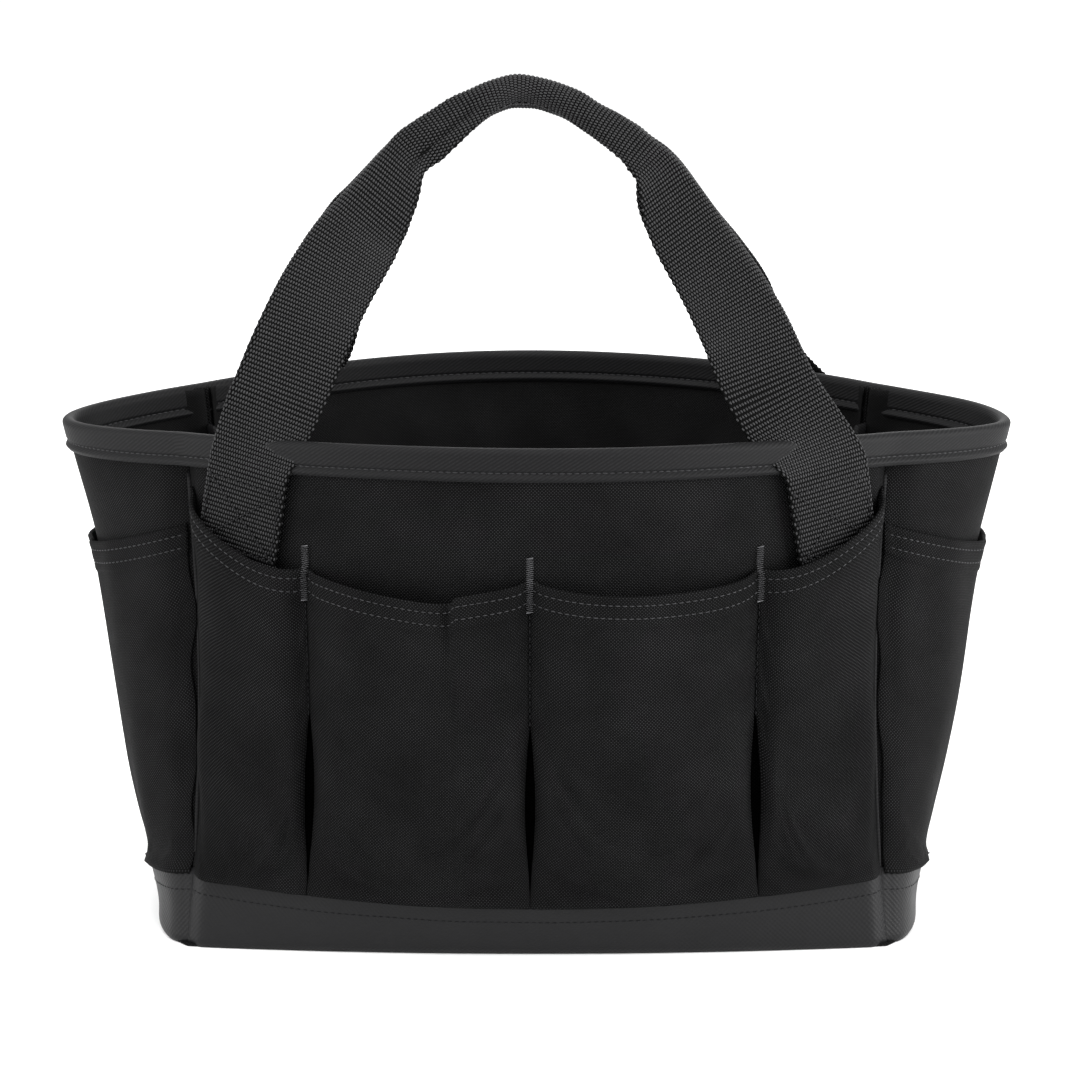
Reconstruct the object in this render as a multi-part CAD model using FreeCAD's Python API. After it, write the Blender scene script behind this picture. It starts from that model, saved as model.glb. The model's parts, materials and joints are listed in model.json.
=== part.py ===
import FreeCAD, Part
import math
import os

# An open-top fabric tool caddy: a lens-shaped mouth over a nearly rectangular base, pockets all round the
# outside, and two webbing handles that stand up over the middle and fold down outwards.
# Millimetres. +X is the object's right, +Y its back, +Z up. The origin is on the floor under its middle.

V = FreeCAD.Vector

# ---- Body -------------------------------------------------------------------------------------------
BODY_HEIGHT = 220.0        # floor to the rim at the middle of the front
RIM_DIP = 8.0              # the rim is this much lower at its two pointed ends
SEAM_X = 148.0             # corner seams, from the middle plane, at the rim and at the base
SEAM_PINCH = 5.0           # the seams pull in by this much half-way up
RIM_SEAM_Y = 56.0          # corner seams, from the middle plane, at the rim
BASE_SEAM_Y = 74.0         # and at the base
RIM_FRONT_BULGE = 56.0     # the front stands this far in front of the corner seams at the rim
BASE_FRONT_BULGE = 10.0    # and at the base
RIM_SIDE_BULGE = 53.0      # the ends stand this far outside the corner seams at the rim
BASE_SIDE_BULGE = 15.0     # and at the base
FRONT_ROUNDING = 1.6       # how early the front swells above the base: 1 is a straight wall
SIDE_ROUNDING = 1.0
BASE_END_SQUARENESS = 4.5  # 2 is a round end, more is squarer
RIM_END_SQUARENESS = 2.0

# ---- Cloth, tape and board thicknesses -----------------------------------------------------------------
PANEL_THICKNESS = 1.8
LINING_THICKNESS = 1.2
POCKET_THICKNESS = 1.4
BAND_THICKNESS = 1.2
BOTTOM_THICKNESS = 1.2
BOARD_THICKNESS = 3.0
TAPE_THICKNESS = 1.3
WEBBING_THICKNESS = 2.0
THREAD_THICKNESS = 0.6
PLY_GAP = 0.2              # between plies that lie on each other
SEAM_GAP = 0.8             # from a panel's edge to the corner seam's line
ALLOWANCE_GAP = 0.8        # from the linings to the bound seam allowances
TAPE_END_GAP = 1.0         # between the end of one tape and the next

# ---- Trim -----------------------------------------------------------------------------------------------
BINDING_HEIGHT = 13.5      # the rim tape, on each side of the wall
SEAM_TAPE_WIDTH = 10.0     # bound seam allowances that stand inward
BAND_HEIGHT = 24.0         # coated band at the middle of the front
BAND_CORNER_RISE = 9.0     # it is this much taller at the corner seams
BAND_END_HEIGHT = 27.0     # and this tall at the middle of the ends

# ---- Pockets --------------------------------------------------------------------------------------------
LEFT_POCKET_ROOM = 11.0            # an outer pocket is wider than the webbing that it covers by this much,
RIGHT_POCKET_ROOM = 15.0           # from the corner seam to the nearest stitched divider
MIDDLE_DIVIDER_X = -3.0
DIVIDER_SLOT = 3.2                 # bare strip at each divider, which the bar tack fills
HEM_DROP = 53.0                    # pocket tops at the dividers, below the rim's highest point
HEM_SAG = 5.0                      # the middle pockets' tops hang down by this much
CORNER_HEM_DROP = 26.0             # the outer pockets rise to this far below it at the corner seams
CORNER_HEM_CURVE = 1.8             # how late that rise comes
MIDDLE_POCKET_DEPTH = 15.0         # room between a middle pocket and the wall behind it
OUTER_POCKET_DEPTH = 13.0          # the outer pockets pass over the handles' sewn tails
SIDE_HEM_DROP = 41.0               # side pockets at the corner seams, below the rim's highest point
SIDE_HEM_DIP = 17.0                # and this much lower at the middle of the end
SIDE_POCKET_DEPTH = 11.0
POCKET_FOOT_SHARE = 0.4            # a pocket's depth at its foot, as a share of its depth at the top
POCKET_EDGE_SQUARENESS = 4.0       # how steeply a pocket rises from its side seams
BAR_TACK_WIDTH = 2.4
BAR_TACK_LENGTH = 22.8
BAR_TACK_BELOW_HEM = 13.0          # how much of a bar tack is under the pocket's top

# ---- Handles --------------------------------------------------------------------------------------------
WEBBING_WIDTH = 40.0
LEG_EDGE_FROM_SEAM = 13.0  # outer edge of each leg at the rim, from the corner seam
TAIL_TILT = 10.0           # degrees: the sewn tails spread towards the corners going down
TAIL_LENGTH = 48.0         # sewn tail below the top of the rim
TAIL_CURVE_ROOM = 1.3      # a flat tail's middle stands this far off the rim tape, as the wall is curved
HINGE_OUT = 11.0           # the line that a handle folds about, in front of the tail
HINGE_UP = 5.0             # and above the rim
LEG_UP = 8.0               # the free webbing starts this far above the rim
GRIP_ABOVE_RIM = 136.0     # middle of the grip at the top, above the rim's highest point
GRIP_Y = 11.0              # how near the middle plane the grip stands
GRIP_DIAMETER = 12.6
GRIP_CORE_DIAMETER = 7.2
GRIP_CORE_HALF_LENGTH = 22.0   # the foam core fills only the middle of the grip
CORE_CLEARANCE = 0.2       # round the core, on the radius
GRIP_HALF_LENGTH = 50.0    # shoulders of the grip, from the middle plane
GRIP_SLOPE = 34.0          # degrees: each half of the grip climbs to the bend at the top
GRIP_BEND_RADIUS = 26.0
LEG_BOW = 4.0              # the legs bow outwards by this much between the rim and the shoulders
LEG_TURN = 4               # how late a leg turns towards the grip's direction
SHOULDER_LENGTH = 38.0     # the webbing narrows to the grip over this length
BOX_STITCH_INSET = 3.0     # from the webbing's edges
BOX_STITCH_HEIGHT = 28.0
BOX_STITCH_LINE = 2.2
BOX_STITCH_DROP = 17.0     # top of the stitched box, below the top of the rim

# ---- Worked out from those --------------------------------------------------------------------------------
RIM_HALF_WIDTH = SEAM_X + RIM_SIDE_BULGE
LEFT_DIVIDER_X = WEBBING_WIDTH + LEFT_POCKET_ROOM - SEAM_X
RIGHT_DIVIDER_X = SEAM_X - WEBBING_WIDTH - RIGHT_POCKET_ROOM
DIVIDERS_X = (LEFT_DIVIDER_X, MIDDLE_DIVIDER_X, RIGHT_DIVIDER_X)
HEM_HEIGHT = BODY_HEIGHT - HEM_DROP
CORNER_HEM_HEIGHT = BODY_HEIGHT - CORNER_HEM_DROP
SIDE_HEM_HEIGHT = BODY_HEIGHT - SIDE_HEM_DROP
LEG_X = SEAM_X - LEG_EDGE_FROM_SEAM - WEBBING_WIDTH / 2
TAIL_CLEARANCE = PLY_GAP + TAPE_THICKNESS + TAIL_CURVE_ROOM
GRIP_HEIGHT = BODY_HEIGHT + GRIP_ABOVE_RIM
BOX_STITCH_WIDTH = WEBBING_WIDTH - 2 * BOX_STITCH_INSET
LINING_OUTER = -(PANEL_THICKNESS + PLY_GAP)
LINING_INNER = LINING_OUTER - LINING_THICKNESS
WALL_FOOT = BOTTOM_THICKNESS + PLY_GAP
BOARD_TOP = WALL_FOOT + BOARD_THICKNESS
FLOOR_TOP = BOARD_TOP + PLY_GAP + LINING_THICKNESS
COARSE, FINE = 7, 13       # rows of points across a gently and a strongly curved surface
LEG_POINTS = 8


def blend(low, high, share, power=1.0):
    """From low at share 0 to high at share 1, late for a power over 1."""
    return low + (high - low) * max(share, 0.0) ** power


def swell(low, high, share, rounding):
    """From low at share 0 to high at share 1, early for a rounding over 1."""
    return high - (high - low) * (1 - min(share, 1.0)) ** rounding


def rim_height(x):
    return BODY_HEIGHT - RIM_DIP * (x / RIM_HALF_WIDTH) ** 2


def seam_x(share):
    return SEAM_X - SEAM_PINCH * math.sin(math.pi * share)


def seam_y(share):
    return blend(BASE_SEAM_Y, RIM_SEAM_Y, share)


def front_plan(s, share):
    """The front wall's outline at one level: s is -1 at the left corner seam and 1 at the right one."""
    bulge = swell(BASE_FRONT_BULGE, RIM_FRONT_BULGE, share, FRONT_ROUNDING)
    return s * seam_x(share), -seam_y(share) - bulge * (1 - s * s)


def side_plan(s, share):
    """The right end's outline at one level: s is -1 at the front corner seam and 1 at the back one."""
    bulge = swell(BASE_SIDE_BULGE, RIM_SIDE_BULGE, share, SIDE_ROUNDING)
    squareness = swell(BASE_END_SQUARENESS, RIM_END_SQUARENESS, share, FRONT_ROUNDING)
    return seam_x(share) + bulge * (1 - abs(s) ** squareness), s * seam_y(share)


def outward(plan, s, share):
    """The level direction that points out of the wall."""
    step = 0.01
    low, high = max(s - step, -1.0), min(s + step, 1.0)
    x0, y0 = plan(low, share)
    x1, y1 = plan(high, share)
    return V(y1 - y0, x0 - x1, 0).normalize()


def wall_point(plan, s, z, offset):
    """A point that stands off the wall's outer face by offset, at height z."""
    share = min(z / rim_height(plan(s, 1.0)[0]), 1.0)
    x, y = plan(s, share)
    return V(x, y, z) + outward(plan, s, share) * offset


def surface(grid):
    made = Part.BSplineSurface()
    made.interpolate(grid)
    return made


def closed_solid(faces):
    shell = Part.makeShell(faces)
    shell.sewShape()
    solid = Part.makeSolid(shell)
    if solid.Volume < 0:
        solid.reverse()
    return solid


def slab(point, rows, columns):
    """A curved slab. point(u, v, k) gives its inner face for k = 0 and its outer face for k = 1."""
    def grid(k):
        return [[point(i / (rows - 1), j / (columns - 1), k) for j in range(columns)] for i in range(rows)]

    inner, outer = surface(grid(0)), surface(grid(1))
    faces = [inner.toShape(), outer.toShape()]
    u0, u1, v0, v1 = inner.bounds()
    for a, b in ((inner.uIso(u0), outer.uIso(u0)), (inner.uIso(u1), outer.uIso(u1)),
                 (inner.vIso(v0), outer.vIso(v0)), (inner.vIso(v1), outer.vIso(v1))):
        faces.append(Part.makeRuledSurface(a.toShape(), b.toShape()))
    return closed_solid(faces)


def sheet(plan, s_span, z_span, offsets, rows=FINE, columns=COARSE):
    """Cloth on a wall. z_span gives the lower and upper edge at s; offsets gives inner and outer at (u, v)."""
    def point(u, v, k):
        s = s_span[0] + (s_span[1] - s_span[0]) * u
        low, high = z_span(s)
        return wall_point(plan, s, low + (high - low) * v, offsets(u, v)[k])

    return slab(point, rows, columns)


def seam_share(gap=SEAM_GAP):
    """The s at which a panel stops, to stay gap short of the corner seam."""
    return 1 - gap / SEAM_X


# ---- Rings round the whole body -------------------------------------------------------------------------
def ring_points(z_at, offset):
    """Points round the body, anticlockwise from the front left seam, kept clear of the seams' corners."""
    half = [0.0, 0.35, 0.6, 0.8, 0.93]         # closer together towards the seam, where the outline turns
    steps = [-s for s in half[:0:-1]] + half
    front = [wall_point(front_plan, s, z_at(front_plan, s), offset) for s in steps]
    right = [wall_point(side_plan, s, z_at(side_plan, s), offset) for s in steps]
    return front + right + [V(-p.x, -p.y, p.z) for p in front + right]


def ring_edge(z_at, offset):
    curve = Part.BSplineCurve()
    curve.interpolate(Points=ring_points(z_at, offset), PeriodicFlag=True)
    return curve.toShape()


def ring(section):
    """A closed band round the body. section lists (height function, offset), in order round its outline."""
    edges = [ring_edge(z_at, offset) for z_at, offset in section]
    return closed_solid([Part.makeRuledSurface(a, b) for a, b in zip(edges, edges[1:] + edges[:1])])


def below_rim(drop):
    return lambda plan, s: rim_height(plan(s, 1.0)[0]) - drop


def level_at(z):
    return lambda plan, s: z


def plate(z, thickness, offset):
    """A flat piece of the body's outline at the floor, offset outwards or inwards."""
    outline = Part.Wire([ring_edge(level_at(WALL_FOOT), offset)])
    face = Part.Face(outline)
    solid = face.extrude(V(0, 0, thickness))
    solid.translate(V(0, 0, z - WALL_FOOT))
    return solid


# ---- Walls ------------------------------------------------------------------------------------------------
def panel(plan):
    edge = seam_share()
    return sheet(plan, (-edge, edge), lambda s: (WALL_FOOT, rim_height(plan(s, 1.0)[0])),
                 lambda u, v: (-PANEL_THICKNESS, 0.0))


def lining(plan):
    edge = seam_share(SEAM_GAP + PANEL_THICKNESS + LINING_THICKNESS)
    return sheet(plan, (-edge, edge), lambda s: (FLOOR_TOP + PLY_GAP, rim_height(plan(s, 1.0)[0])),
                 lambda u, v: (LINING_INNER, LINING_OUTER))


def band_top(plan, s):
    middle = BAND_HEIGHT if plan is front_plan else BAND_END_HEIGHT
    return middle + (BAND_HEIGHT + BAND_CORNER_RISE - middle) * s * s


def base_band(plan):
    edge = seam_share()
    inner = PLY_GAP
    return sheet(plan, (-edge, edge), lambda s: (PLY_GAP, band_top(plan, s)),
                 lambda u, v: (inner, inner + BAND_THICKNESS), columns=4)


def rim_binding():
    """One tape folded over the rim, so that it shows inside and outside."""
    inside, outside = LINING_INNER - PLY_GAP, PLY_GAP
    cap, foot = -PLY_GAP, BINDING_HEIGHT
    return ring([
        (below_rim(foot), outside), (below_rim(cap), outside),
        (below_rim(cap), inside), (below_rim(foot), inside),
        (below_rim(foot), inside - TAPE_THICKNESS), (below_rim(cap - TAPE_THICKNESS), inside - TAPE_THICKNESS),
        (below_rim(cap - TAPE_THICKNESS), outside + TAPE_THICKNESS), (below_rim(foot), outside + TAPE_THICKNESS),
    ])


def bottom_seam_binding():
    """The bound allowance of the bottom seam stands up inside, all round the floor."""
    outer = LINING_INNER - ALLOWANCE_GAP
    low, high = FLOOR_TOP + PLY_GAP, FLOOR_TOP + SEAM_TAPE_WIDTH
    return ring([(level_at(low), outer), (level_at(high), outer),
                 (level_at(high), outer - 2 * TAPE_THICKNESS), (level_at(low), outer - 2 * TAPE_THICKNESS)])


def corner_seam_binding():
    """The front right corner's bound allowance: a strip that stands inward from the seam."""
    start = -LINING_INNER + ALLOWANCE_GAP
    low = FLOOR_TOP + SEAM_TAPE_WIDTH + TAPE_END_GAP
    high = rim_height(SEAM_X) - BINDING_HEIGHT - TAPE_END_GAP

    def point(u, v, k):
        z = low + (high - low) * v
        share = z / rim_height(SEAM_X)
        inward = (outward(front_plan, 1.0, share) + outward(side_plan, -1.0, share)).normalize() * -1
        across = V(-inward.y, inward.x, 0)
        seam = V(seam_x(share), -seam_y(share), z)
        return seam + inward * (start + SEAM_TAPE_WIDTH * u) + across * (TAPE_THICKNESS * (2 * k - 1))

    return slab(point, 2, COARSE)


# ---- Pockets ------------------------------------------------------------------------------------------------
def pocket(plan, s_span, top, depth):
    """A bellied sheet, shut at its sides and foot and open at the top. top gives its height at s."""
    def offsets(u, v):
        belly = 1 - abs(2 * u - 1) ** POCKET_EDGE_SQUARENESS
        inner = 2 * PLY_GAP + depth * belly * swell(POCKET_FOOT_SHARE, 1.0, v, FRONT_ROUNDING)
        return inner, inner + POCKET_THICKNESS

    return sheet(plan, s_span, lambda s: (band_top(plan, s) + 2 * PLY_GAP, top(s)), offsets, rows=11)


def front_pocket(index):
    """Pockets 0 to 3, from the left corner seam to the right one."""
    half_slot = DIVIDER_SLOT / 2
    edges = [-SEAM_X + SEAM_GAP - half_slot] + list(DIVIDERS_X) + [SEAM_X - SEAM_GAP + half_slot]
    low, high = (edges[index] + half_slot) / SEAM_X, (edges[index + 1] - half_slot) / SEAM_X

    middle = index in (1, 2)

    def top(s):
        u = (s - low) / (high - low)
        if middle:
            return HEM_HEIGHT - HEM_SAG * (1 - (2 * u - 1) ** 2)
        towards_seam = 1 - u if index == 0 else u
        return blend(HEM_HEIGHT, CORNER_HEM_HEIGHT, towards_seam, CORNER_HEM_CURVE)

    return pocket(front_plan, (low, high), top, MIDDLE_POCKET_DEPTH if middle else OUTER_POCKET_DEPTH)


def side_pocket():
    edge = seam_share()
    return pocket(side_plan, (-edge, edge), lambda s: SIDE_HEM_HEIGHT - SIDE_HEM_DIP * (1 - s * s),
                  SIDE_POCKET_DEPTH)


def bar_tack(x):
    half = BAR_TACK_WIDTH / 2 / SEAM_X
    s = x / SEAM_X
    low = HEM_HEIGHT - BAR_TACK_BELOW_HEM
    return sheet(front_plan, (s - half, s + half), lambda _: (low, low + BAR_TACK_LENGTH),
                 lambda u, v: (PLY_GAP, PLY_GAP + POCKET_THICKNESS + THREAD_THICKNESS), rows=2, columns=3)


# ---- Handles ------------------------------------------------------------------------------------------------
def tail_frame():
    """Where the right-hand tail is sewn down: a point at the rim, and its across, up and outward directions."""
    s = LEG_X / SEAM_X
    top = wall_point(front_plan, s, rim_height(LEG_X), 0)
    foot = wall_point(front_plan, s, rim_height(LEG_X) - TAIL_LENGTH, 0)
    up = (top - foot).normalize()
    level = V(0, 0, 1).cross(outward(front_plan, s, 1.0))
    tilt = math.radians(TAIL_TILT)
    across = level * math.cos(tilt) + up * math.sin(tilt)
    normal = across.cross(level * -math.sin(tilt) + up * math.cos(tilt)).normalize()
    rise = normal.cross(across)
    return top, across, rise, normal


def flat_on_tail(outline, holes, offset, thickness):
    """A flat piece on the tail: outline and holes are lists of (across, up) from the rim point."""
    top, across, rise, normal = tail_frame()

    def wire(points):
        placed = [top + across * a + rise * b + normal * offset for a, b in points]
        return Part.makePolygon(placed + placed[:1])

    face = Part.Face(wire(outline))
    for hole in holes:
        face = face.cut(Part.Face(wire(hole)))
    return face.extrude(normal * thickness)


def handle_tail():
    half = WEBBING_WIDTH / 2
    return flat_on_tail([(-half, -TAIL_LENGTH), (half, -TAIL_LENGTH), (half, 0), (-half, 0)], [],
                        TAIL_CLEARANCE, WEBBING_THICKNESS)


def box_stitch():
    """A stitched box with a cross in it, left standing as four triangular gaps in one thin plate."""
    half, line = BOX_STITCH_WIDTH / 2, BOX_STITCH_LINE
    high, low = -BOX_STITCH_DROP, -BOX_STITCH_DROP - BOX_STITCH_HEIGHT
    middle = (high + low) / 2
    slope = BOX_STITCH_HEIGHT / BOX_STITCH_WIDTH
    reach = line * math.hypot(1, slope) / slope / 2          # half the cross's width, measured across
    rise = reach * slope
    side, top, foot = half - line, high - line, low + line
    gaps = [
        [(-side, top - rise + line * slope - line), (-side, foot + rise - line * slope + line), (-reach, middle)],
        [(side, top - rise + line * slope - line), (side, foot + rise - line * slope + line), (reach, middle)],
        [(-side + reach, top), (side - reach, top), (0, middle + rise)],
        [(-side + reach, foot), (side - reach, foot), (0, middle - rise)],
    ]
    return flat_on_tail([(-half, low), (half, low), (half, high), (-half, high)], gaps,
                        TAIL_CLEARANCE + WEBBING_THICKNESS + PLY_GAP / 2, THREAD_THICKNESS)


def handle_plane():
    """The leaning plane of the front handle: a point on the middle plane at the legs' feet, and up along it."""
    top = tail_frame()[0]
    foot = V(0, top.y - TAIL_CLEARANCE, top.z + LEG_UP)
    head = V(0, -GRIP_Y, GRIP_HEIGHT)
    return foot, (head - foot).normalize(), (head - foot).Length


def in_plane(x, t):
    foot, up, _ = handle_plane()
    return foot + V(x, 0, 0) + up * t


def grip_apex():
    """Height in the handle's plane where the grip's two straight runs would meet, above the bend."""
    slope = math.radians(GRIP_SLOPE)
    return handle_plane()[2] + GRIP_BEND_RADIUS * (1 / math.cos(slope) - 1)


def shoulder():
    """Height in the handle's plane of the grip's ends."""
    return grip_apex() - GRIP_HALF_LENGTH * math.tan(math.radians(GRIP_SLOPE))


def leg_edge(side):
    """One long edge of the right-hand leg: side is 1 for the outer edge and -1 for the inner one."""
    slope = math.radians(GRIP_SLOPE)
    along_grip = V(-math.cos(slope), math.sin(slope), 0)
    length = shoulder()
    points = []
    for i in range(LEG_POINTS):
        share = blend(-WEBBING_WIDTH / 2 / length, 1.0, i / (LEG_POINTS - 1))
        x = blend(LEG_X, GRIP_HALF_LENGTH, share) + LEG_BOW * math.sin(math.pi * share)
        x_step = GRIP_HALF_LENGTH - LEG_X + LEG_BOW * math.pi * math.cos(math.pi * share)
        ahead = V(x_step, length, 0).normalize()
        turned = max(share, 0.0) ** LEG_TURN
        ahead = (ahead * (1 - turned) + along_grip * turned).normalize()
        narrowed = max(0.0, 1 - (1 - share) * length / SHOULDER_LENGTH) ** 2
        half = blend(WEBBING_WIDTH / 2, GRIP_DIAMETER / 2, narrowed)
        points.append(in_plane(x + side * half * ahead.y, length * share - side * half * ahead.x))
    return points


def handle_leg():
    """The right-hand leg: flat webbing in the handle's plane, from the rim to the shoulder of the grip."""
    inner, outer = leg_edge(-1), leg_edge(1)
    edges = []
    for points in (inner, outer):
        curve = Part.BSplineCurve()
        curve.interpolate(points)
        edges.append(curve.toShape())
    edges.append(Part.makeLine(inner[0], outer[0]))
    edges.append(Part.makeLine(inner[-1], outer[-1]))
    _, up, _ = handle_plane()
    normal = V(1, 0, 0).cross(up).normalize()
    face = Part.Face(Part.Wire(Part.__sortEdges__(edges)))
    face.translate(normal * (-WEBBING_THICKNESS / 2))
    foot = handle_plane()[0]
    below = Part.makeBox(2 * LEG_X, BODY_HEIGHT, BODY_HEIGHT, foot - V(0, BODY_HEIGHT / 2, BODY_HEIGHT))
    return face.extrude(normal * WEBBING_THICKNESS).cut(below)


def grip_path(half_length):
    """Two straight runs joined by a tangent arc at the top, out to half_length from the middle plane."""
    slope = math.radians(GRIP_SLOPE)
    from_apex = GRIP_BEND_RADIUS * math.tan(slope)
    x, t = from_apex * math.cos(slope), grip_apex() - from_apex * math.sin(slope)
    end = grip_apex() - half_length * math.tan(slope)
    left_end, right_end = in_plane(-half_length, end), in_plane(half_length, end)
    left_bend, right_bend = in_plane(-x, t), in_plane(x, t)
    bend = Part.Arc(left_bend, in_plane(0, handle_plane()[2]), right_bend)
    return Part.Wire([Part.makeLine(left_end, left_bend), bend.toShape(), Part.makeLine(right_bend, right_end)])


def rod(diameter, half_length=GRIP_HALF_LENGTH):
    path = grip_path(half_length)
    start = path.Edges[0].Vertexes[0].Point
    heading = (path.Edges[0].Vertexes[1].Point - start).normalize()
    section = Part.Wire([Part.makeCircle(diameter / 2, start, heading)])
    return path.makePipeShell([section], True, False)


def handle_grip():
    return rod(GRIP_DIAMETER).cut(rod(GRIP_CORE_DIAMETER + 2 * CORE_CLEARANCE))


# ---- The whole caddy --------------------------------------------------------------------------------------
def to_back(shape):
    return shape.mirror(V(0, 0, 0), V(0, 1, 0))


def to_left(shape):
    return shape.mirror(V(0, 0, 0), V(1, 0, 0))


def write(name, *solids):
    shape = solids[0] if len(solids) == 1 else Part.makeCompound(list(solids))
    shape.exportStep("parts/" + name + ".step")
    count = len(shape.Solids)
    print(f"{name}: {count} solid{'s' * (count > 1)}, {shape.Volume / 1000:.2f} cm3, valid {shape.isValid()}")


def write_front_and_back(name, shape):
    write("front_" + name, shape)
    write("back_" + name, to_back(shape))


def write_left_and_right(name, shape):
    write("left_" + name, to_left(shape))
    write("right_" + name, shape)


os.makedirs("parts", exist_ok=True)

write_front_and_back("panel", panel(front_plan))
write_left_and_right("end_panel", panel(side_plan))
write_front_and_back("lining", lining(front_plan))
write_left_and_right("end_lining", lining(side_plan))
write_front_and_back("base_band", base_band(front_plan))
write_left_and_right("end_base_band", base_band(side_plan))

write("bottom_panel", plate(0, BOTTOM_THICKNESS, 0))
write("base_board", plate(WALL_FOOT, BOARD_THICKNESS, -PANEL_THICKNESS - 3 * PLY_GAP))
write("bottom_lining", plate(BOARD_TOP + PLY_GAP, LINING_THICKNESS, -PANEL_THICKNESS - 3 * PLY_GAP))

write("rim_binding", rim_binding())
write("bottom_seam_binding", bottom_seam_binding())
corner = corner_seam_binding()
write("front_right_seam_binding", corner)
write("front_left_seam_binding", to_left(corner))
write("back_right_seam_binding", to_back(corner))
write("back_left_seam_binding", to_back(to_left(corner)))

for number, place in enumerate(("left_outer", "left_middle", "right_middle", "right_outer")):
    write_front_and_back(place + "_pocket", front_pocket(number))
write_left_and_right("end_pocket", side_pocket())

tacks = Part.makeCompound([bar_tack(x) for x in DIVIDERS_X])
write_front_and_back("bar_tacks", tacks)

tail, leg, stitch = handle_tail(), handle_leg(), box_stitch()
write_front_and_back("handle_right_tail", tail)
write_front_and_back("handle_left_tail", to_left(tail))
write_front_and_back("box_stitches", Part.makeCompound([stitch, to_left(stitch)]))
write_front_and_back("handle_right_leg", leg)
write_front_and_back("handle_left_leg", to_left(leg))
write_front_and_back("handle_grip", handle_grip())
write_front_and_back("grip_core", rod(GRIP_CORE_DIAMETER, GRIP_CORE_HALF_LENGTH))

rim_point = tail_frame()[0]
print(f"handle fold line: y {rim_point.y - HINGE_OUT:.2f}, z {rim_point.z + HINGE_UP:.2f}")
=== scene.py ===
# %% [markdown]
# # A fabric tool caddy, sewn in Blender
# The real caddy is a soft bag with no rigid shell: coarse woven cloth walls, a coated band round the foot,
# a folded tape round the mouth, pockets all round, and two webbing handles that are rolled into grips.
# Cloth like this is best made as fine grids of points that follow a formula for the wall's shape. A formula
# keeps every layer a known distance from the next, so pockets, tape and stitches all sit where they were sewn.

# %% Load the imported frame
import json
import math
import bpy
import numpy as np
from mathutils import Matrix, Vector

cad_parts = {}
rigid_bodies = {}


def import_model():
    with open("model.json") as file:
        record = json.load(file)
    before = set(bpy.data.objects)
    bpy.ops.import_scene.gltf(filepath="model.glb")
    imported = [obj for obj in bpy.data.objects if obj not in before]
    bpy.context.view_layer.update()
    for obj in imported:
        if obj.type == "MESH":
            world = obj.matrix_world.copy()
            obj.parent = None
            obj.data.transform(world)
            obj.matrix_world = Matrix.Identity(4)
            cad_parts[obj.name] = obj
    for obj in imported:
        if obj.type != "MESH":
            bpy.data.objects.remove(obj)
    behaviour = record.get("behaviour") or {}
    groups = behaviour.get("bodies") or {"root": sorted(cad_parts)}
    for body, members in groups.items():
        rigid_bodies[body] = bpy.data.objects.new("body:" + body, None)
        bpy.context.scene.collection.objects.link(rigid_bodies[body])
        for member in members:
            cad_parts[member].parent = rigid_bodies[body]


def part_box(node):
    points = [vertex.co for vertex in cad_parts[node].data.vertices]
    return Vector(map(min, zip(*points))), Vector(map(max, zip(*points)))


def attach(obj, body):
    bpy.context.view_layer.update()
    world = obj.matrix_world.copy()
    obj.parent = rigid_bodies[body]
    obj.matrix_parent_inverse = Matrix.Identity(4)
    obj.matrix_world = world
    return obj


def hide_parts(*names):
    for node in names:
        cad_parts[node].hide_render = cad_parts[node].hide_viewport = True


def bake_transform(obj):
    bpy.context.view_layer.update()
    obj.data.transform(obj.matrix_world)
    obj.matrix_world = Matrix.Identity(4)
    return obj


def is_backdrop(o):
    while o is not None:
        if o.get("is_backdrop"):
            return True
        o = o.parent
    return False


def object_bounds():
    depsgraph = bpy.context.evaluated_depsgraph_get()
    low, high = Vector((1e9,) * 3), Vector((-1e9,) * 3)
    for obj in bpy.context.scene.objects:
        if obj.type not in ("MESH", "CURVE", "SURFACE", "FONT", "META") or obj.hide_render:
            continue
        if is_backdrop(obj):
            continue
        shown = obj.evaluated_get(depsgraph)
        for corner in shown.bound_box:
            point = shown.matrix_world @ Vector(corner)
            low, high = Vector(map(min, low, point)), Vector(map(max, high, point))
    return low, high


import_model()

cad_low, cad_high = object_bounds()

# %% [markdown]
# ## Camera, light and floor
# A product like this is shown from about two metres with a long lens, a little above the rim, on a
# white sweep. A black object needs large soft lights: their broad reflections are what shows the weave.

# %% Camera
MM = 0.001
CAMERA_DISTANCE = 2000 * MM
CAMERA_HEIGHT = 606 * MM
CAMERA_DOWN = 12.6
FOCAL_LENGTH = 159.3       # on a 36 mm wide sensor

scene = bpy.context.scene
camera_data = bpy.data.cameras.new("camera")
camera_data.sensor_width = 36
camera_data.lens = FOCAL_LENGTH
camera = bpy.data.objects.new("camera", camera_data)
camera.location = (1.2 * MM, -CAMERA_DISTANCE, CAMERA_HEIGHT)
camera.rotation_euler = (math.radians(90 - CAMERA_DOWN), 0, 0)
scene.collection.objects.link(camera)
scene.camera = camera
scene.view_settings.view_transform = "Standard"
print("camera looks down", CAMERA_DOWN, "degrees")

# %% Lights
def area_light(name, place, aim, size, power):
    data = bpy.data.lights.new(name, "AREA")
    data.shape = "SQUARE"
    data.size = size
    data.energy = power
    lamp = bpy.data.objects.new(name, data)
    lamp.location = place
    lamp.rotation_euler = (Vector(aim) - Vector(place)).to_track_quat("-Z", "Y").to_euler()
    scene.collection.objects.link(lamp)


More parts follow.
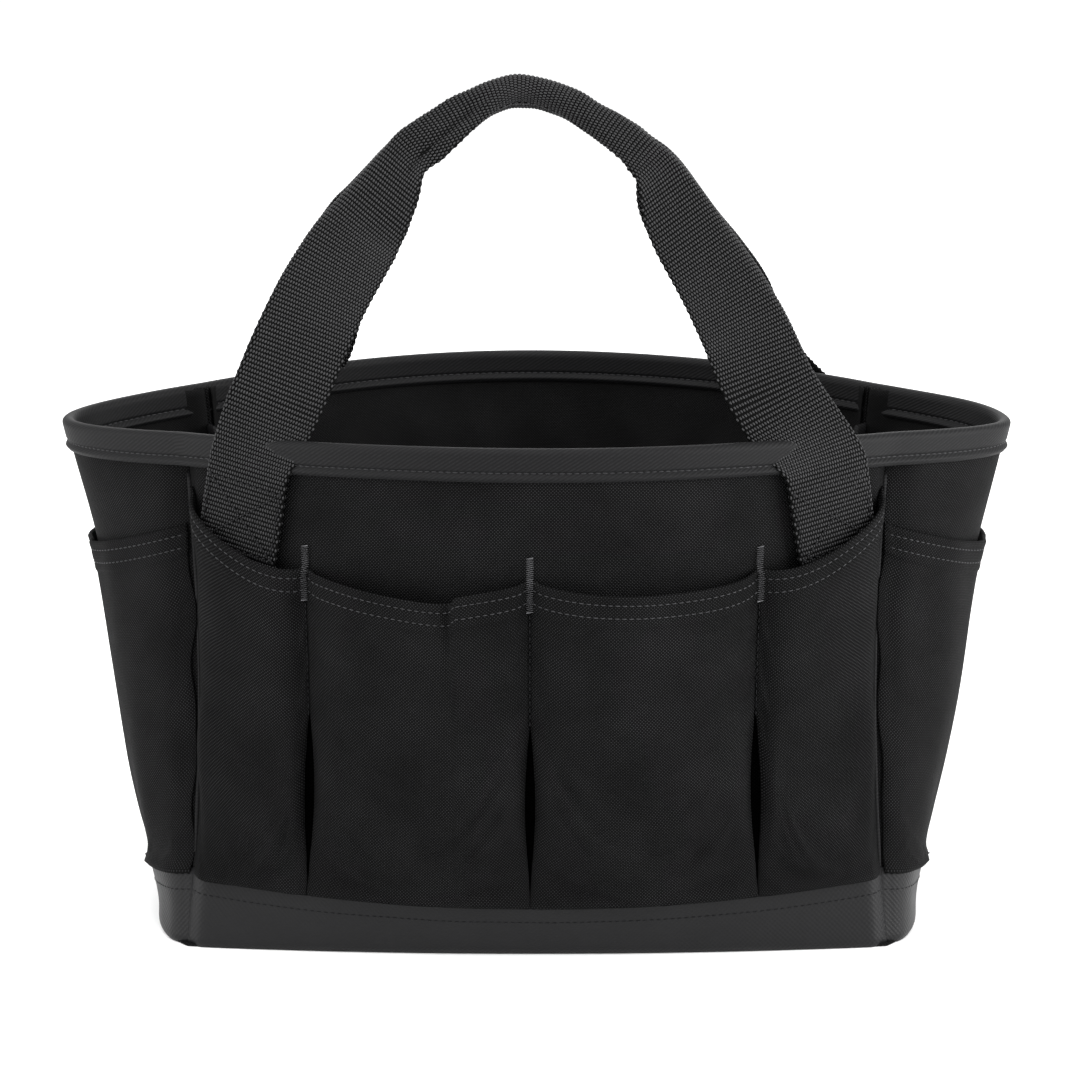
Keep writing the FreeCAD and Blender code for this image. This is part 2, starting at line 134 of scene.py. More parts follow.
MIDDLE = (0, 0, 0.15)
area_light("top_softbox", (-0.3, -0.5, 1.7), MIDDLE, 1.6, 22)
area_light("left_softbox", (-1.9, -0.6, 0.7), MIDDLE, 1.2, 26)
area_light("right_softbox", (1.9, -0.6, 0.7), MIDDLE, 1.2, 60)
area_light("back_softbox", (0.2, 1.6, 1.2), MIDDLE, 1.4, 14)
world = bpy.data.worlds.new("studio")
world.use_nodes = True
world.node_tree.nodes["Background"].inputs["Color"].default_value = (1, 1, 1, 1)
world.node_tree.nodes["Background"].inputs["Strength"].default_value = 1.06
scene.world = world

# %% [markdown]
# ## Materials
# Everything here is black or nearly so, and what tells the cloths apart is how each was made: coarse woven
# yarn, smooth coated cloth, ribbed webbing, diagonal twill. So each material is a weave pattern in
# millimetres on the piece's own UV map, which is laid out in metres of flat cloth.

# %% Colour and node helpers
def colour(code):
    """An sRGB hex code as linear light."""
    parts = [int(code[i:i + 2], 16) / 255 for i in (1, 3, 5)]
    return (*[c / 12.92 if c <= 0.04045 else ((c + 0.055) / 1.055) ** 2.4 for c in parts], 1.0)


def add(tree, kind, settings=None, values=None, links=None):
    """One node with its settings, its input values and what is plugged into it."""
    node = tree.nodes.new(kind)
    for name, value in (settings or {}).items():
        setattr(node, name, value)
    for name, value in (values or {}).items():
        node.inputs[name].default_value = value
    for name, socket in (links or {}).items():
        tree.links.new(socket, node.inputs[name])
    return node


def new_material(name, roughness, sheen=0.0, specular=0.5):
    """A principled material with its constant settings on the shader itself."""
    made = bpy.data.materials.new(name)
    made.use_nodes = True
    shader = made.node_tree.nodes["Principled BSDF"]
    shader.inputs["Roughness"].default_value = roughness
    shader.inputs["Sheen Weight"].default_value = sheen
    shader.inputs["Sheen Roughness"].default_value = 0.5
    shader.inputs["Specular IOR Level"].default_value = specular
    return made, made.node_tree, shader


# %% [markdown]
# A plain weave is a chequerboard of small humps: at each crossing either the warp or the weft lies on top.
# The product of two sines makes the humps and a chequer texture says which ones stand higher. The same
# height sets the colour: near-black in the hollows as painted shade, lighter on the crowns as partly painted
# highlight.

# %% Woven cloth
def woven(name, shaded_valley, lit_crown, yarn, relief, roughness, sheen, specular=0.4, cloud=0.25, slub=0.5):
    """Plain-woven cloth: yarn is the thread spacing in metres, relief the height of its humps."""
    made, tree, shader = new_material(name, roughness, sheen, specular)
    place = add(tree, "ShaderNodeUVMap")
    split = add(tree, "ShaderNodeSeparateXYZ", links={0: place.outputs[0]})
    humps = []
    for axis in (0, 1):
        turns = add(tree, "ShaderNodeMath", {"operation": "MULTIPLY"}, {1: math.pi / yarn},
                    {0: split.outputs[axis]})
        sine = add(tree, "ShaderNodeMath", {"operation": "SINE"}, links={0: turns.outputs[0]})
        humps.append(add(tree, "ShaderNodeMath", {"operation": "ABSOLUTE"}, links={0: sine.outputs[0]}))
    hump = add(tree, "ShaderNodeMath", {"operation": "MULTIPLY"},
               links={0: humps[0].outputs[0], 1: humps[1].outputs[0]})
    over = add(tree, "ShaderNodeTexChecker",
               values={"Color1": (1, 1, 1, 1), "Color2": (0.12, 0.12, 0.12, 1), "Scale": 1 / yarn},
               links={"Vector": place.outputs[0]})
    height = add(tree, "ShaderNodeMath", {"operation": "MULTIPLY"},
                 links={0: hump.outputs[0], 1: over.outputs["Color"]})
    uneven = add(tree, "ShaderNodeTexNoise", values={"Scale": 0.22 / yarn, "Detail": 2.0},
                 links={"Vector": place.outputs[0]})
    patchy = add(tree, "ShaderNodeTexNoise", values={"Scale": 26.0, "Detail": 4.0, "Roughness": 0.6},
                 links={"Vector": place.outputs[0]})
    slubbed = add(tree, "ShaderNodeMath", {"operation": "MULTIPLY_ADD"}, {1: slub},
                  {0: uneven.outputs["Fac"], 2: height.outputs[0]})
    # Colour by height: the hollows are painted shade, the crowns the yarn's black with a painted highlight.
    tint = add(tree, "ShaderNodeMix", {"data_type": "RGBA"}, {"A": colour(shaded_valley), "B": colour(lit_crown)},
               {"Factor": height.outputs[0]})
    shade = add(tree, "ShaderNodeMapRange",
                values={"From Min": 0.3, "From Max": 0.7, "To Min": 1 - cloud, "To Max": 1 + cloud},
                links={"Value": patchy.outputs["Fac"]})
    worn = add(tree, "ShaderNodeVectorMath", {"operation": "SCALE"},
               links={0: tint.outputs["Result"], "Scale": shade.outputs["Result"]})
    bump = add(tree, "ShaderNodeBump", values={"Strength": 0.9, "Distance": relief},
               links={"Height": slubbed.outputs[0]})
    tree.links.new(worn.outputs[0], shader.inputs["Base Color"])
    tree.links.new(bump.outputs[0], shader.inputs["Normal"])
    return made


# Heavy polyester duck: thick dull yarn, so its highlights break up into grains. Its near-black hollows
# are painted shade and its lighter crowns partly painted highlight.
DUCK = woven("black_polyester_duck_woven", "#010101", "#2a2a2b", 0.71 * MM, 0.4 * MM, 0.72, 0.0, 0.05,
             cloud=0.4)
# Lining: thin plain cloth, seen only in shade.
LINING = woven("black_lining_woven", "#040404", "#161617", 0.6 * MM, 0.15 * MM, 0.7, 0.0, 0.09, cloud=0.5)
print("weaves", DUCK.name, LINING.name)

# %% [markdown]
# Twill tape has its humps in diagonal lines, so one slanted wave pattern is enough. Coated cloth is a
# smooth film over a fine grid of threads: two crossing diagonal waves, faint, under a satin surface.

# %% Diagonal patterns
def diagonal(tree, place, pitch, tilt):
    """A ridge pattern across the UV map: pitch in metres, tilt in degrees."""
    turned = add(tree, "ShaderNodeMapping", values={"Rotation": (0, 0, math.radians(tilt)),
                                                    "Scale": (1 / pitch, 1 / pitch, 1)},
                 links={"Vector": place.outputs[0]})
    split = add(tree, "ShaderNodeSeparateXYZ", links={0: turned.outputs[0]})
    turns = add(tree, "ShaderNodeMath", {"operation": "MULTIPLY"}, {1: math.tau}, {0: split.outputs[0]})
    return add(tree, "ShaderNodeMath", {"operation": "SINE"}, links={0: turns.outputs[0]})


def twill(name, shaded_valley, lit_crown, pitch, relief):
    made, tree, shader = new_material(name, 0.62, 0.0, 0.14)
    place = add(tree, "ShaderNodeUVMap")
    ridges = diagonal(tree, place, pitch, 58)
    share = add(tree, "ShaderNodeMapRange", values={"From Min": -1.0}, links={"Value": ridges.outputs[0]})
    fuzz = add(tree, "ShaderNodeTexNoise", values={"Scale": 900.0, "Detail": 2.0},
               links={"Vector": place.outputs[0]})
    mixed = add(tree, "ShaderNodeMath", {"operation": "MULTIPLY"},
                links={0: share.outputs["Result"], 1: fuzz.outputs["Fac"]})
    # Colour by ridge: the grooves are painted shade, the ridges the tape's black with a painted highlight.
    tint = add(tree, "ShaderNodeMix", {"data_type": "RGBA"}, {"A": colour(shaded_valley), "B": colour(lit_crown)},
               {"Factor": mixed.outputs[0]})
    bump = add(tree, "ShaderNodeBump", values={"Strength": 0.8, "Distance": relief},
               links={"Height": mixed.outputs[0]})
    tree.links.new(tint.outputs["Result"], shader.inputs["Base Color"])
    tree.links.new(bump.outputs[0], shader.inputs["Normal"])
    return made


def coated(name, base, worn_colour):
    made, tree, shader = new_material(name, 0.42, 0.0, 0.16)
    place = add(tree, "ShaderNodeUVMap")
    first, second = diagonal(tree, place, 1.5 * MM, 45), diagonal(tree, place, 1.5 * MM, -45)
    grid = add(tree, "ShaderNodeMath", {"operation": "ADD"},
               links={0: first.outputs[0], 1: second.outputs[0]})
    scuffs = add(tree, "ShaderNodeTexNoise", values={"Scale": 60.0, "Detail": 6.0, "Roughness": 0.65},
                 links={"Vector": place.outputs[0]})
    tint = add(tree, "ShaderNodeMix", {"data_type": "RGBA"}, {"A": colour(base), "B": colour(worn_colour)},
               {"Factor": scuffs.outputs["Fac"]})
    gloss = add(tree, "ShaderNodeMapRange", values={"To Min": 0.36, "To Max": 0.55},
                links={"Value": scuffs.outputs["Fac"]})
    bump = add(tree, "ShaderNodeBump", values={"Strength": 0.5, "Distance": 0.05 * MM},
               links={"Height": grid.outputs[0]})
    tree.links.new(tint.outputs["Result"], shader.inputs["Base Color"])
    tree.links.new(gloss.outputs["Result"], shader.inputs["Roughness"])
    tree.links.new(bump.outputs[0], shader.inputs["Normal"])
    return made


TWILL_PITCH = 1.3 * MM      # drawn a little coarser than real tape, which would not show
TWILL = twill("black_twill_tape", "#060607", "#1e1e1f", TWILL_PITCH, 0.15 * MM)
COATED = coated("coated_polyester_satin", "#0f0f10", "#171718")
print("tapes and films", TWILL.name, COATED.name)

# %% [markdown]
# Thread, webbing yarn, plastic board and foam have no map of their own, so they read object coordinates,
# which are metres in the caddy's frame.

# %% Yarn, thread and hidden stock
def grained(name, low, high, scale, relief, roughness, specular=0.4):
    """A material with a fine random grain: scale is in grains for each metre, relief its height."""
    made, tree, shader = new_material(name, roughness, 0.0, specular)
    place = add(tree, "ShaderNodeTexCoord")
    grain = add(tree, "ShaderNodeTexNoise", values={"Scale": scale, "Detail": 3.0},
                links={"Vector": place.outputs["Object"]})
    share = add(tree, "ShaderNodeMapRange", values={"From Min": 0.35, "From Max": 0.65},
                links={"Value": grain.outputs["Fac"]})
    tint = add(tree, "ShaderNodeMix", {"data_type": "RGBA"}, {"A": colour(low), "B": colour(high)},
               {"Factor": share.outputs["Result"]})
    bump = add(tree, "ShaderNodeBump", values={"Strength": 0.5, "Distance": relief},
               links={"Height": grain.outputs["Fac"]})
    tree.links.new(tint.outputs["Result"], shader.inputs["Base Color"])
    tree.links.new(bump.outputs[0], shader.inputs["Normal"])
    return made


# Webbing yarn is glossy filament; the weft under it lies in shadow, so its colour is painted darker as painted
# shade. Bonded thread is smooth and a little grey.
WEBBING_YARN = grained("black_polypropylene_webbing_yarn", "#1e1e1f", "#303031", 1400.0, 0.1 * MM, 0.5,
                       specular=0.24)
WEBBING_GROUND_PAINTED_SHADE = grained("black_webbing_ground_painted_shade", "#030303", "#070707", 1200.0, 0.1 * MM, 0.8, specular=0.05)
SEAM_THREAD = grained("dark_grey_bonded_thread", "#262627", "#343436", 2500.0, 0.05 * MM, 0.45, specular=0.2)
TACK_THREAD = grained("mid_grey_bonded_thread", "#4c4c4e", "#666668", 2500.0, 0.05 * MM, 0.45, specular=0.2)
DARK_THREAD = grained("black_bonded_thread", "#0c0c0c", "#18181a", 2500.0, 0.05 * MM, 0.45, specular=0.1)
# An extruded board has a dull even skin, foam an open matt one, and paper none at all.
BOARD = grained("black_polyethylene_board_extruded", "#141414", "#1d1d1d", 300.0, 0.05 * MM, 0.5)
FOAM = grained("black_closed_cell_foam_cord", "#101010", "#1c1c1c", 900.0, 0.2 * MM, 0.9)
FLOOR = grained("white_paper_sweep", "#f8f8f8", "#fbfbfb", 4.0, 0.0, 0.9)
print("materials", len(bpy.data.materials))

# %% [markdown]
# The white sweep is one large sheet of paper that the caddy stands on.

# %% Floor
FLOOR_REACH = 6.0
floor_mesh = bpy.data.meshes.new("floor")
floor_corners = [(x * FLOOR_REACH, y * FLOOR_REACH, 0) for x, y in ((-1, -1), (1, -1), (1, 1), (-1, 1))]
floor_mesh.from_pydata(floor_corners, [], [(0, 1, 2, 3)])
floor_mesh.materials.append(FLOOR)
floor_piece = bpy.data.objects.new("floor", floor_mesh)
scene.collection.objects.link(floor_piece)
floor_piece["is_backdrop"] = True
print("floor is", 2 * FLOOR_REACH, "m wide")

# %% [markdown]
# ## The shape of the walls
# From above, the mouth is a pointed lens and the foot is nearly a rectangle. Four corner seams divide the
# body into a front, a back and two ends. s runs from -1 to 1 along each wall, from seam to seam,
# anticlockwise as seen from above, and a share of the height blends the foot's outline into the mouth's.

# %% Wall sizes
BODY_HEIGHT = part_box("front_panel")[1][2]
SEAM_X = 148 * MM
SEAM_PINCH = 5 * MM
RIM_DIP = 8 * MM
RIM_SEAM_Y, BASE_SEAM_Y = 56 * MM, 74 * MM
RIM_FRONT_BULGE, BASE_FRONT_BULGE = 56 * MM, 10 * MM
RIM_END_BULGE, BASE_END_BULGE = 53 * MM, 15 * MM
RIM_SQUARENESS, BASE_SQUARENESS = 2.0, 4.5    # 2 is a round end, more is squarer
FRONT_ROUNDING = 1.6                          # how early the front swells above the foot
RIM_HALF_WIDTH = SEAM_X + RIM_END_BULGE
WALLS = ("front", "right", "back", "left")


def between(low, high, share):
    return low + (high - low) * share


def swell(low, high, share, rounding):
    """From low at share 0 to high at share 1, early for a rounding over 1."""
    return high - (high - low) * (1 - share) ** rounding


def smooth(low, high, value):
    """0 below low, 1 above high, with an easy start and stop."""
    share = np.clip((value - low) / (high - low), 0, 1)
    return share * share * (3 - 2 * share)


def hump(value, middle, width):
    return np.exp(-((value - middle) / width) ** 2)


def outline(wall, s, share):
    """x and y of a wall's outline at a share of its height."""
    seam_x = SEAM_X - SEAM_PINCH * np.sin(np.pi * np.clip(share, 0, 1))
    seam_y = between(BASE_SEAM_Y, RIM_SEAM_Y, share)
    if wall in ("front", "back"):
        bulge = swell(BASE_FRONT_BULGE, RIM_FRONT_BULGE, share, FRONT_ROUNDING)
        x, y = s * seam_x, -seam_y - bulge * (1 - s * s)
    else:
        bulge = between(BASE_END_BULGE, RIM_END_BULGE, share)
        # The ends belly out half-way up and draw in just above the band.
        bulge = bulge + 3.4 * MM * hump(share, 0.43, 0.2) - 3 * MM * hump(share, 0.06, 0.08)
        squareness = swell(BASE_SQUARENESS, RIM_SQUARENESS, share, FRONT_ROUNDING)
        x, y = seam_x + bulge * (1 - np.abs(s) ** squareness), s * seam_y
    return (x, y) if wall in ("front", "right") else (-x, -y)


def rim_height(wall, s):
    return BODY_HEIGHT - RIM_DIP * (outline(wall, s, 1.0)[0] / RIM_HALF_WIDTH) ** 2


# %% [markdown]
# Real cloth never lies on a formula. A few long waves, the same for every layer of a wall, make it look
# handled, and because the layers share them no layer is pushed through another.

# %% Cloth waves
def waves(a, b, seed, shortest, longest, count=6):
    """Smooth random waves over two lengths in metres, from about -1 to 1."""
    dice = np.random.default_rng(seed)
    total = 0
    for _ in range(count):
        turn, phase = dice.uniform(0, np.pi), dice.uniform(0, math.tau)
        length = dice.uniform(shortest, longest)
        total = total + np.sin((a * np.cos(turn) + b * np.sin(turn)) * math.tau / length + phase)
    return total / count ** 0.5 / 1.2


LIFE = 0.9 * MM                                # height of the waves
CREASE_DEPTH, CREASE_WIDTH = 4.2 * MM, 3.6 * MM   # the pocket cloth dives into the corner seam


def on_wall(wall, s, z, offset, crease=0.0):
    """Points that stand off a wall. crease is 1 where the layer is drawn into the corner seams."""
    s, z, offset = np.broadcast_arrays(np.asarray(s, float), np.asarray(z, float), np.asarray(offset, float))
    share = np.clip(z / rim_height(wall, s), 0, 1)
    step = 0.01
    x0, y0 = outline(wall, np.clip(s - step, -1, 1), share)
    x1, y1 = outline(wall, np.clip(s + step, -1, 1), share)
    length = np.hypot(x1 - x0, y1 - y0)
    x, y = outline(wall, s, share)
    to_seam = (1 - np.abs(s)) * (SEAM_X if wall in ("front", "back") else RIM_SEAM_Y)
    settled = smooth(0, 0.3, share) * (1 - s ** 4)
    life = LIFE * settled * waves(s * SEAM_X, z, 11 + WALLS.index(wall), 70 * MM, 200 * MM)
    out = offset + life - crease * CREASE_DEPTH * hump(to_seam, 0, CREASE_WIDTH)
    return np.stack([x + (y1 - y0) / length * out, y - (x1 - x0) / length * out, z], axis=-1)


print("rim is", round(2 * RIM_HALF_WIDTH, 3), "m long and", round(BODY_HEIGHT, 3), "m high")

# %% [markdown]
# ## From a grid of points to a closed piece of cloth
# A sheet with real thickness needs an outer face, an inner face and a rounded edge all round. Building all
# three from the grid keeps the edge clean, which a Solidify modifier would leave square, and lets the
# thickness change where a hem is folded.

# %% Measures of a grid
def face_normals(grid):
    across = np.gradient(grid, axis=0)
    along = np.gradient(grid, axis=1)
    normal = np.cross(across, along)
    return normal / np.maximum(np.linalg.norm(normal, axis=-1, keepdims=True), 1e-12)


def flat_lengths(grid):
    """How far each point is along the cloth in both directions, as if it were laid flat."""
    steps_u = np.linalg.norm(np.diff(grid, axis=0), axis=-1).mean(axis=1)
    steps_v = np.linalg.norm(np.diff(grid, axis=1), axis=-1).mean(axis=0)
    return np.concatenate([[0], np.cumsum(steps_u)]), np.concatenate([[0], np.cumsum(steps_v)])


print("a grid is measured along both of its directions")

# %% Cloth from a grid
MAP_MARGIN = 1 * MM        # how far a flat map goes on past an edge or a join


def finish_mesh(name, points, faces, uvs, material):
    """A smooth mesh object with a flat map in metres and one material."""
    mesh = bpy.data.meshes.new(name)
    mesh.from_pydata(points.tolist(), [], faces)
    layer = mesh.uv_layers.new(name="cloth")
    corners = np.array([corner for loop in uvs for corner in loop], np.float32)
    layer.data.foreach_set("uv", corners.ravel())
    mesh.materials.append(material)
    mesh.polygons.foreach_set("use_smooth", np.ones(len(faces), bool))
    mesh.update()
    piece = bpy.data.objects.new(name, mesh)
    scene.collection.objects.link(piece)
    return piece


def cloth(name, grid, thickness, material):
    """A closed sheet: grid is its outer face, seen with the first axis to the right and the second up."""
    rows, columns = grid.shape[:2]
    normal = face_normals(grid)
    inner = grid - normal * np.broadcast_to(thickness, (rows, columns))[..., None]
    u, v = flat_lengths(grid)
    number = np.arange(rows * columns).reshape(rows, columns)
    points = [grid.reshape(-1, 3), inner.reshape(-1, 3)]
    faces, uvs = [], []
    for i in range(rows - 1):
        for j in range(columns - 1):
            a, b, c, d = number[i, j], number[i + 1, j], number[i + 1, j + 1], number[i, j + 1]
            corners = ((u[i], v[j]), (u[i + 1], v[j]), (u[i + 1], v[j + 1]), (u[i], v[j + 1]))
            faces.append((a, b, c, d))
            uvs.append(corners)
            back = rows * columns
            faces.append((a + back, d + back, c + back, b + back))
            uvs.append((corners[0], corners[3], corners[2], corners[1]))
    loop = [(i, 0) for i in range(rows)] + [(rows - 1, j) for j in range(1, columns)]
    loop += [(i, columns - 1) for i in range(rows - 2, -1, -1)] + [(0, j) for j in range(columns - 2, 0, -1)]
    outward = []
    for i, j in loop:
        inside = grid[min(max(i, 1), rows - 2), min(max(j, 1), columns - 2)]
        away = grid[i, j] - inside
        away -= normal[i, j] * (away @ normal[i, j])
        outward.append(away / max(np.linalg.norm(away), 1e-12))
    edge = np.array([(grid[i, j] + inner[i, j]) / 2 + away * np.linalg.norm(grid[i, j] - inner[i, j]) / 2
                     for away, (i, j) in zip(outward, loop)])
    points.append(edge)
    first = 2 * rows * columns

    def past_edge(i, j):
        """The map goes on over the rounded edge, so that the weave isn't drawn out there."""
        past_u, past_v = (i == rows - 1) - (i == 0), (j == columns - 1) - (j == 0)
        return u[i] + MAP_MARGIN * past_u, v[j] + MAP_MARGIN * past_v

    for k, (i, j) in enumerate(loop):
        m, n = loop[(k + 1) % len(loop)]
        here, there = first + k, first + (k + 1) % len(loop)
        a, b = number[i, j], number[m, n]
        spot = ((u[i], v[j]), (u[m], v[n]))
        rim = (past_edge(i, j), past_edge(m, n))
        faces.append((b, a, here, there))
        uvs.append((spot[1], spot[0], rim[0], rim[1]))
        faces.append((a + rows * columns, b + rows * columns, there, here))
        uvs.append((spot[0], spot[1], rim[1], rim[0]))
    return finish_mesh(name, np.concatenate(points), faces, uvs, material)


print("cloth is closed at its edges")


# %% [markdown]
# Each cloth piece is attached to the body it moves with, and the plain solids it stands for are hidden.


def sewn(piece, slot, body, *nodes):
    """The piece moves with the body and stands for the nodes, which are hidden. slot is not used."""
    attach(piece, body)
    if nodes:
        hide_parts(*nodes)
    return piece


def shares(count):
    return np.linspace(0, 1, count)


# %% [markdown]
# ## Walls and linings
# Each wall is one cut of cloth from corner seam to corner seam. The lining hangs a little looser inside it,
# so it has folds of its own.

# %% Walls
PANEL_THICKNESS = 1.6 * MM
WALL_NODES = {"front": "front_{}", "back": "back_{}", "right": "right_end_{}", "left": "left_end_{}"}
FOOT = 1.6 * MM
EDGE = 1.0                 # walls meet at the corner seam


def wall_grid(wall, columns, rows, offset, low, high, crease=1.0, edge=EDGE):
    """Points over a whole wall, from height low to high, where high may depend on s."""
    s = np.linspace(-edge, edge, columns)[:, None]
    t = shares(rows)[None, :]
    top = high(s) if callable(high) else high
    z = low + (top - low) * t
    off = offset(s, z) if callable(offset) else offset
    return on_wall(wall, s, z, off, crease)


for wall in WALLS:
    grid = wall_grid(wall, 110 if wall in ("front", "back") else 64, 72, 0.0, FOOT,
                     lambda s: rim_height(wall, s) - 0.5 * MM)
    name = WALL_NODES[wall].format("panel")
    panel = sewn(cloth(name + "_cloth", grid, PANEL_THICKNESS, DUCK), "body_cloth", "root", name)

# %% Linings
LINING_OFFSET = -2.6 * MM
LINING_THICKNESS = 0.8 * MM


def lining_offset(wall):
    """The lining bags inward from the wall, most of all half-way down."""
    def offset(s, z):
        share = z / BODY_HEIGHT
        slack = smooth(0.02, 0.25, share) * (1 - smooth(0.75, 0.93, share))
        folds = 0.5 + 0.5 * waves(s * SEAM_X, z * 0.45, 31 + WALLS.index(wall), 26 * MM, 80 * MM, 9)
        return LINING_OFFSET - 3.4 * MM * slack * np.clip(folds, 0, 1) ** 1.5 * (1 - s ** 8)

    return offset


for wall in WALLS:
    grid = wall_grid(wall, 120 if wall in ("front", "back") else 60, 80, lining_offset(wall), 6 * MM,
                     lambda s: rim_height(wall, s) - 0.5 * MM, edge=0.99)
    name = WALL_NODES[wall].format("lining")
    inside_out = grid[::-1] + face_normals(grid)[::-1] * -LINING_THICKNESS
    lining = sewn(cloth(name + "_cloth", inside_out, LINING_THICKNESS, LINING), "lining_cloth", "root", name)

# %% [markdown]
# ## Tape round the mouth and round the floor
# Both are one strip of twill that closes on itself. A cross-section is carried round the body's outline:
# at each stop the section's points are placed by how far they stand off the wall and how high they are.

# %% Closed tapes
def round_the_body(count):
    """(wall, s) stops, anticlockwise round all four walls, with more of them on the long ones."""
    stops = []
    for wall in WALLS:
        number = count if wall in ("front", "back") else count // 2
        stops += [(wall, s) for s in np.linspace(-0.985, 0.985, number)]
    return stops


def closed_tape(name, section, height, material, count=220):
    """section is a closed outline of (offset, rise) pairs, anticlockwise as seen along the path."""
    section = np.array(section)
    grid = np.array([on_wall(wall, s, height(wall, s) + section[:, 1], section[:, 0])
                     for wall, s in round_the_body(count)])
    number, around = grid.shape[:2]
    length = np.concatenate([[0], np.cumsum(np.linalg.norm(np.diff(grid[:, 0], axis=0), axis=-1))])
    width = np.concatenate([[0], np.cumsum(np.linalg.norm(np.diff(section, axis=0), axis=-1))])
    faces, uvs = [], []
    for i in range(number):
        k = (i + 1) % number
        far = length[i] + MAP_MARGIN if k == 0 else length[k]
        for j in range(around):
            m = (j + 1) % around
            wide = width[j] + MAP_MARGIN if m == 0 else width[m]
            faces.append((i * around + j, k * around + j, k * around + m, i * around + m))
            uvs.append(((length[i], width[j]), (far, width[j]), (far, wide), (length[i], wide)))
    return finish_mesh(name, grid.reshape(-1, 3), faces, uvs, material)


# %% Rim tape
BINDING_HEIGHT = 13.5 * MM
RIM_STITCH_DROP = 9.8 * MM
RIDGE_DROP = 12.0 * MM      # the tape's turned-under edge shows as a ridge below the stitches
WALL_MIDDLE = -1.6 * MM     # half-way between the wall's outer face and the lining's inner one
HALF_PLY = 2.9 * MM         # from there to the tape's outer face


def tape_face(drop):
    """How far the tape's face stands from the wall's middle, at a drop below its top edge."""
    roll = np.sqrt(np.clip(1 - (1 - np.clip(drop / HALF_PLY, 0, 1)) ** 2, 0, 1))
    ridge = 1.0 * MM * hump(drop, RIDGE_DROP, 1.1 * MM) - 0.6 * MM * hump(drop, RIM_STITCH_DROP, 0.6 * MM)
    return HALF_PLY * roll + ridge


ABOVE_WALL = 1.5 * MM       # the tape's top edge stands this far above the wall's
drops = np.concatenate([HALF_PLY * (1 - np.cos(shares(7) * np.pi / 2)),
                        np.linspace(3.6 * MM, BINDING_HEIGHT, 26)])
outer_side = [(WALL_MIDDLE + tape_face(d), ABOVE_WALL - d) for d in drops]
inner_side = [(WALL_MIDDLE - tape_face(d), ABOVE_WALL - d) for d in drops]
foot_in = [(WALL_MIDDLE + side, 1.2 * MM - BINDING_HEIGHT) for side in (-1.9 * MM, 1.9 * MM)]
section = outer_side[::-1][:-1] + inner_side + foot_in
binding = closed_tape("rim_tape", section, rim_height, TWILL)
sewn(binding, "twill_tape", "root", "rim_binding")

# %% Bottom seam tape
TAPE_LOW, TAPE_HIGH = 6.0 * MM, 15.5 * MM
TAPE_OUT, TAPE_IN = -6.4 * MM, -4.2 * MM
floor_section = [(TAPE_IN, TAPE_LOW), (TAPE_IN, TAPE_HIGH - 1 * MM), ((TAPE_IN + TAPE_OUT) / 2, TAPE_HIGH),
                 (TAPE_OUT, TAPE_HIGH - 1 * MM), (TAPE_OUT, TAPE_LOW)]
floor_tape = closed_tape("bottom_seam_tape", floor_section, lambda wall, s: 0.0, TWILL, 160)
sewn(floor_tape, "twill_tape", "root", "bottom_seam_binding")
print("tapes", len(binding.data.polygons), len(floor_tape.data.polygons))

# %% [markdown]
# ## Corner seams
# Inside each corner the two walls' allowances are bound together with tape and stand up as a strip.

# %% Corner seam tapes
SEAM_TAPE_WIDTH = 10 * MM
SEAM_TAPE_START = 4.2 * MM


def corner_tape(name, x_sign, y_sign):
    z = np.linspace(17 * MM, 199 * MM, 60)
    share = z / BODY_HEIGHT
    seam_x = SEAM_X - SEAM_PINCH * np.sin(np.pi * share)
    seam = np.stack([seam_x, -between(BASE_SEAM_Y, RIM_SEAM_Y, share), z], -1)
    inward = np.array([-0.62, 0.78, 0.0])
    across = np.array([0.78, 0.62, 0.0])
    lean = 2.2 * MM * waves(z, z * 0, 5 + int(x_sign + 2 * y_sign), 60 * MM, 160 * MM)
    reach = SEAM_TAPE_START + SEAM_TAPE_WIDTH * shares(9)
    leaning = across * (lean[None, :, None] * shares(9)[:, None, None])
    grid = seam[None] + inward * reach[:, None, None] + leaning
    grid = grid * (x_sign, y_sign, 1)
    return cloth(name, grid if x_sign * y_sign < 0 else grid[::-1], 2.2 * MM, TWILL)


for y_side, y_sign in (("front", 1), ("back", -1)):
    for x_side, x_sign in (("left", -1), ("right", 1)):
        tape = corner_tape(f"{y_side}_{x_side}_seam_tape", x_sign, y_sign)
        sewn(tape, "twill_tape", "root", f"{y_side}_{x_side}_seam_binding")
        print(tape.name, len(tape.data.polygons))

# %% [markdown]
# ## Coated band and the bottom
# The band is a separate strip of coated cloth on each wall. Its foot turns under the bag, which rounds
# the lower edge. The bottom and its lining are flat sheets, filled between the four walls' outlines.

# %% Bands
BAND_MIDDLE, BAND_END_MIDDLE, BAND_CORNER = 24 * MM, 27 * MM, 33 * MM
BAND_THICKNESS = 1.1 * MM


def band_top(wall, s):
    middle = BAND_MIDDLE if wall in ("front", "back") else BAND_END_MIDDLE
    return middle + (BAND_CORNER - middle) * s * s


def band_offset(wall):
    def offset(s, z):
        turned_under = 1.6 * MM * np.clip(1 - z / (3.5 * MM), 0, 1) ** 2
        crumple = 0.5 * MM * waves(s * SEAM_X, z, 51 + WALLS.index(wall), 25 * MM, 90 * MM)
        return 1.5 * MM - turned_under + crumple * (1 - np.abs(s)) ** 0.5 * smooth(0, 8 * MM, z)

    return offset


band_grids = {}
for wall in WALLS:
    columns = 140 if wall in ("front", "back") else 70
    band_grids[wall] = wall_grid(wall, columns, 26, band_offset(wall), 0.3 * MM,
                                 lambda s: band_top(wall, s), edge=0.999)
    name = WALL_NODES[wall].format("base_band")
    band = sewn(cloth(name + "_cloth", band_grids[wall], BAND_THICKNESS, COATED), "coated_cloth", "root", name)


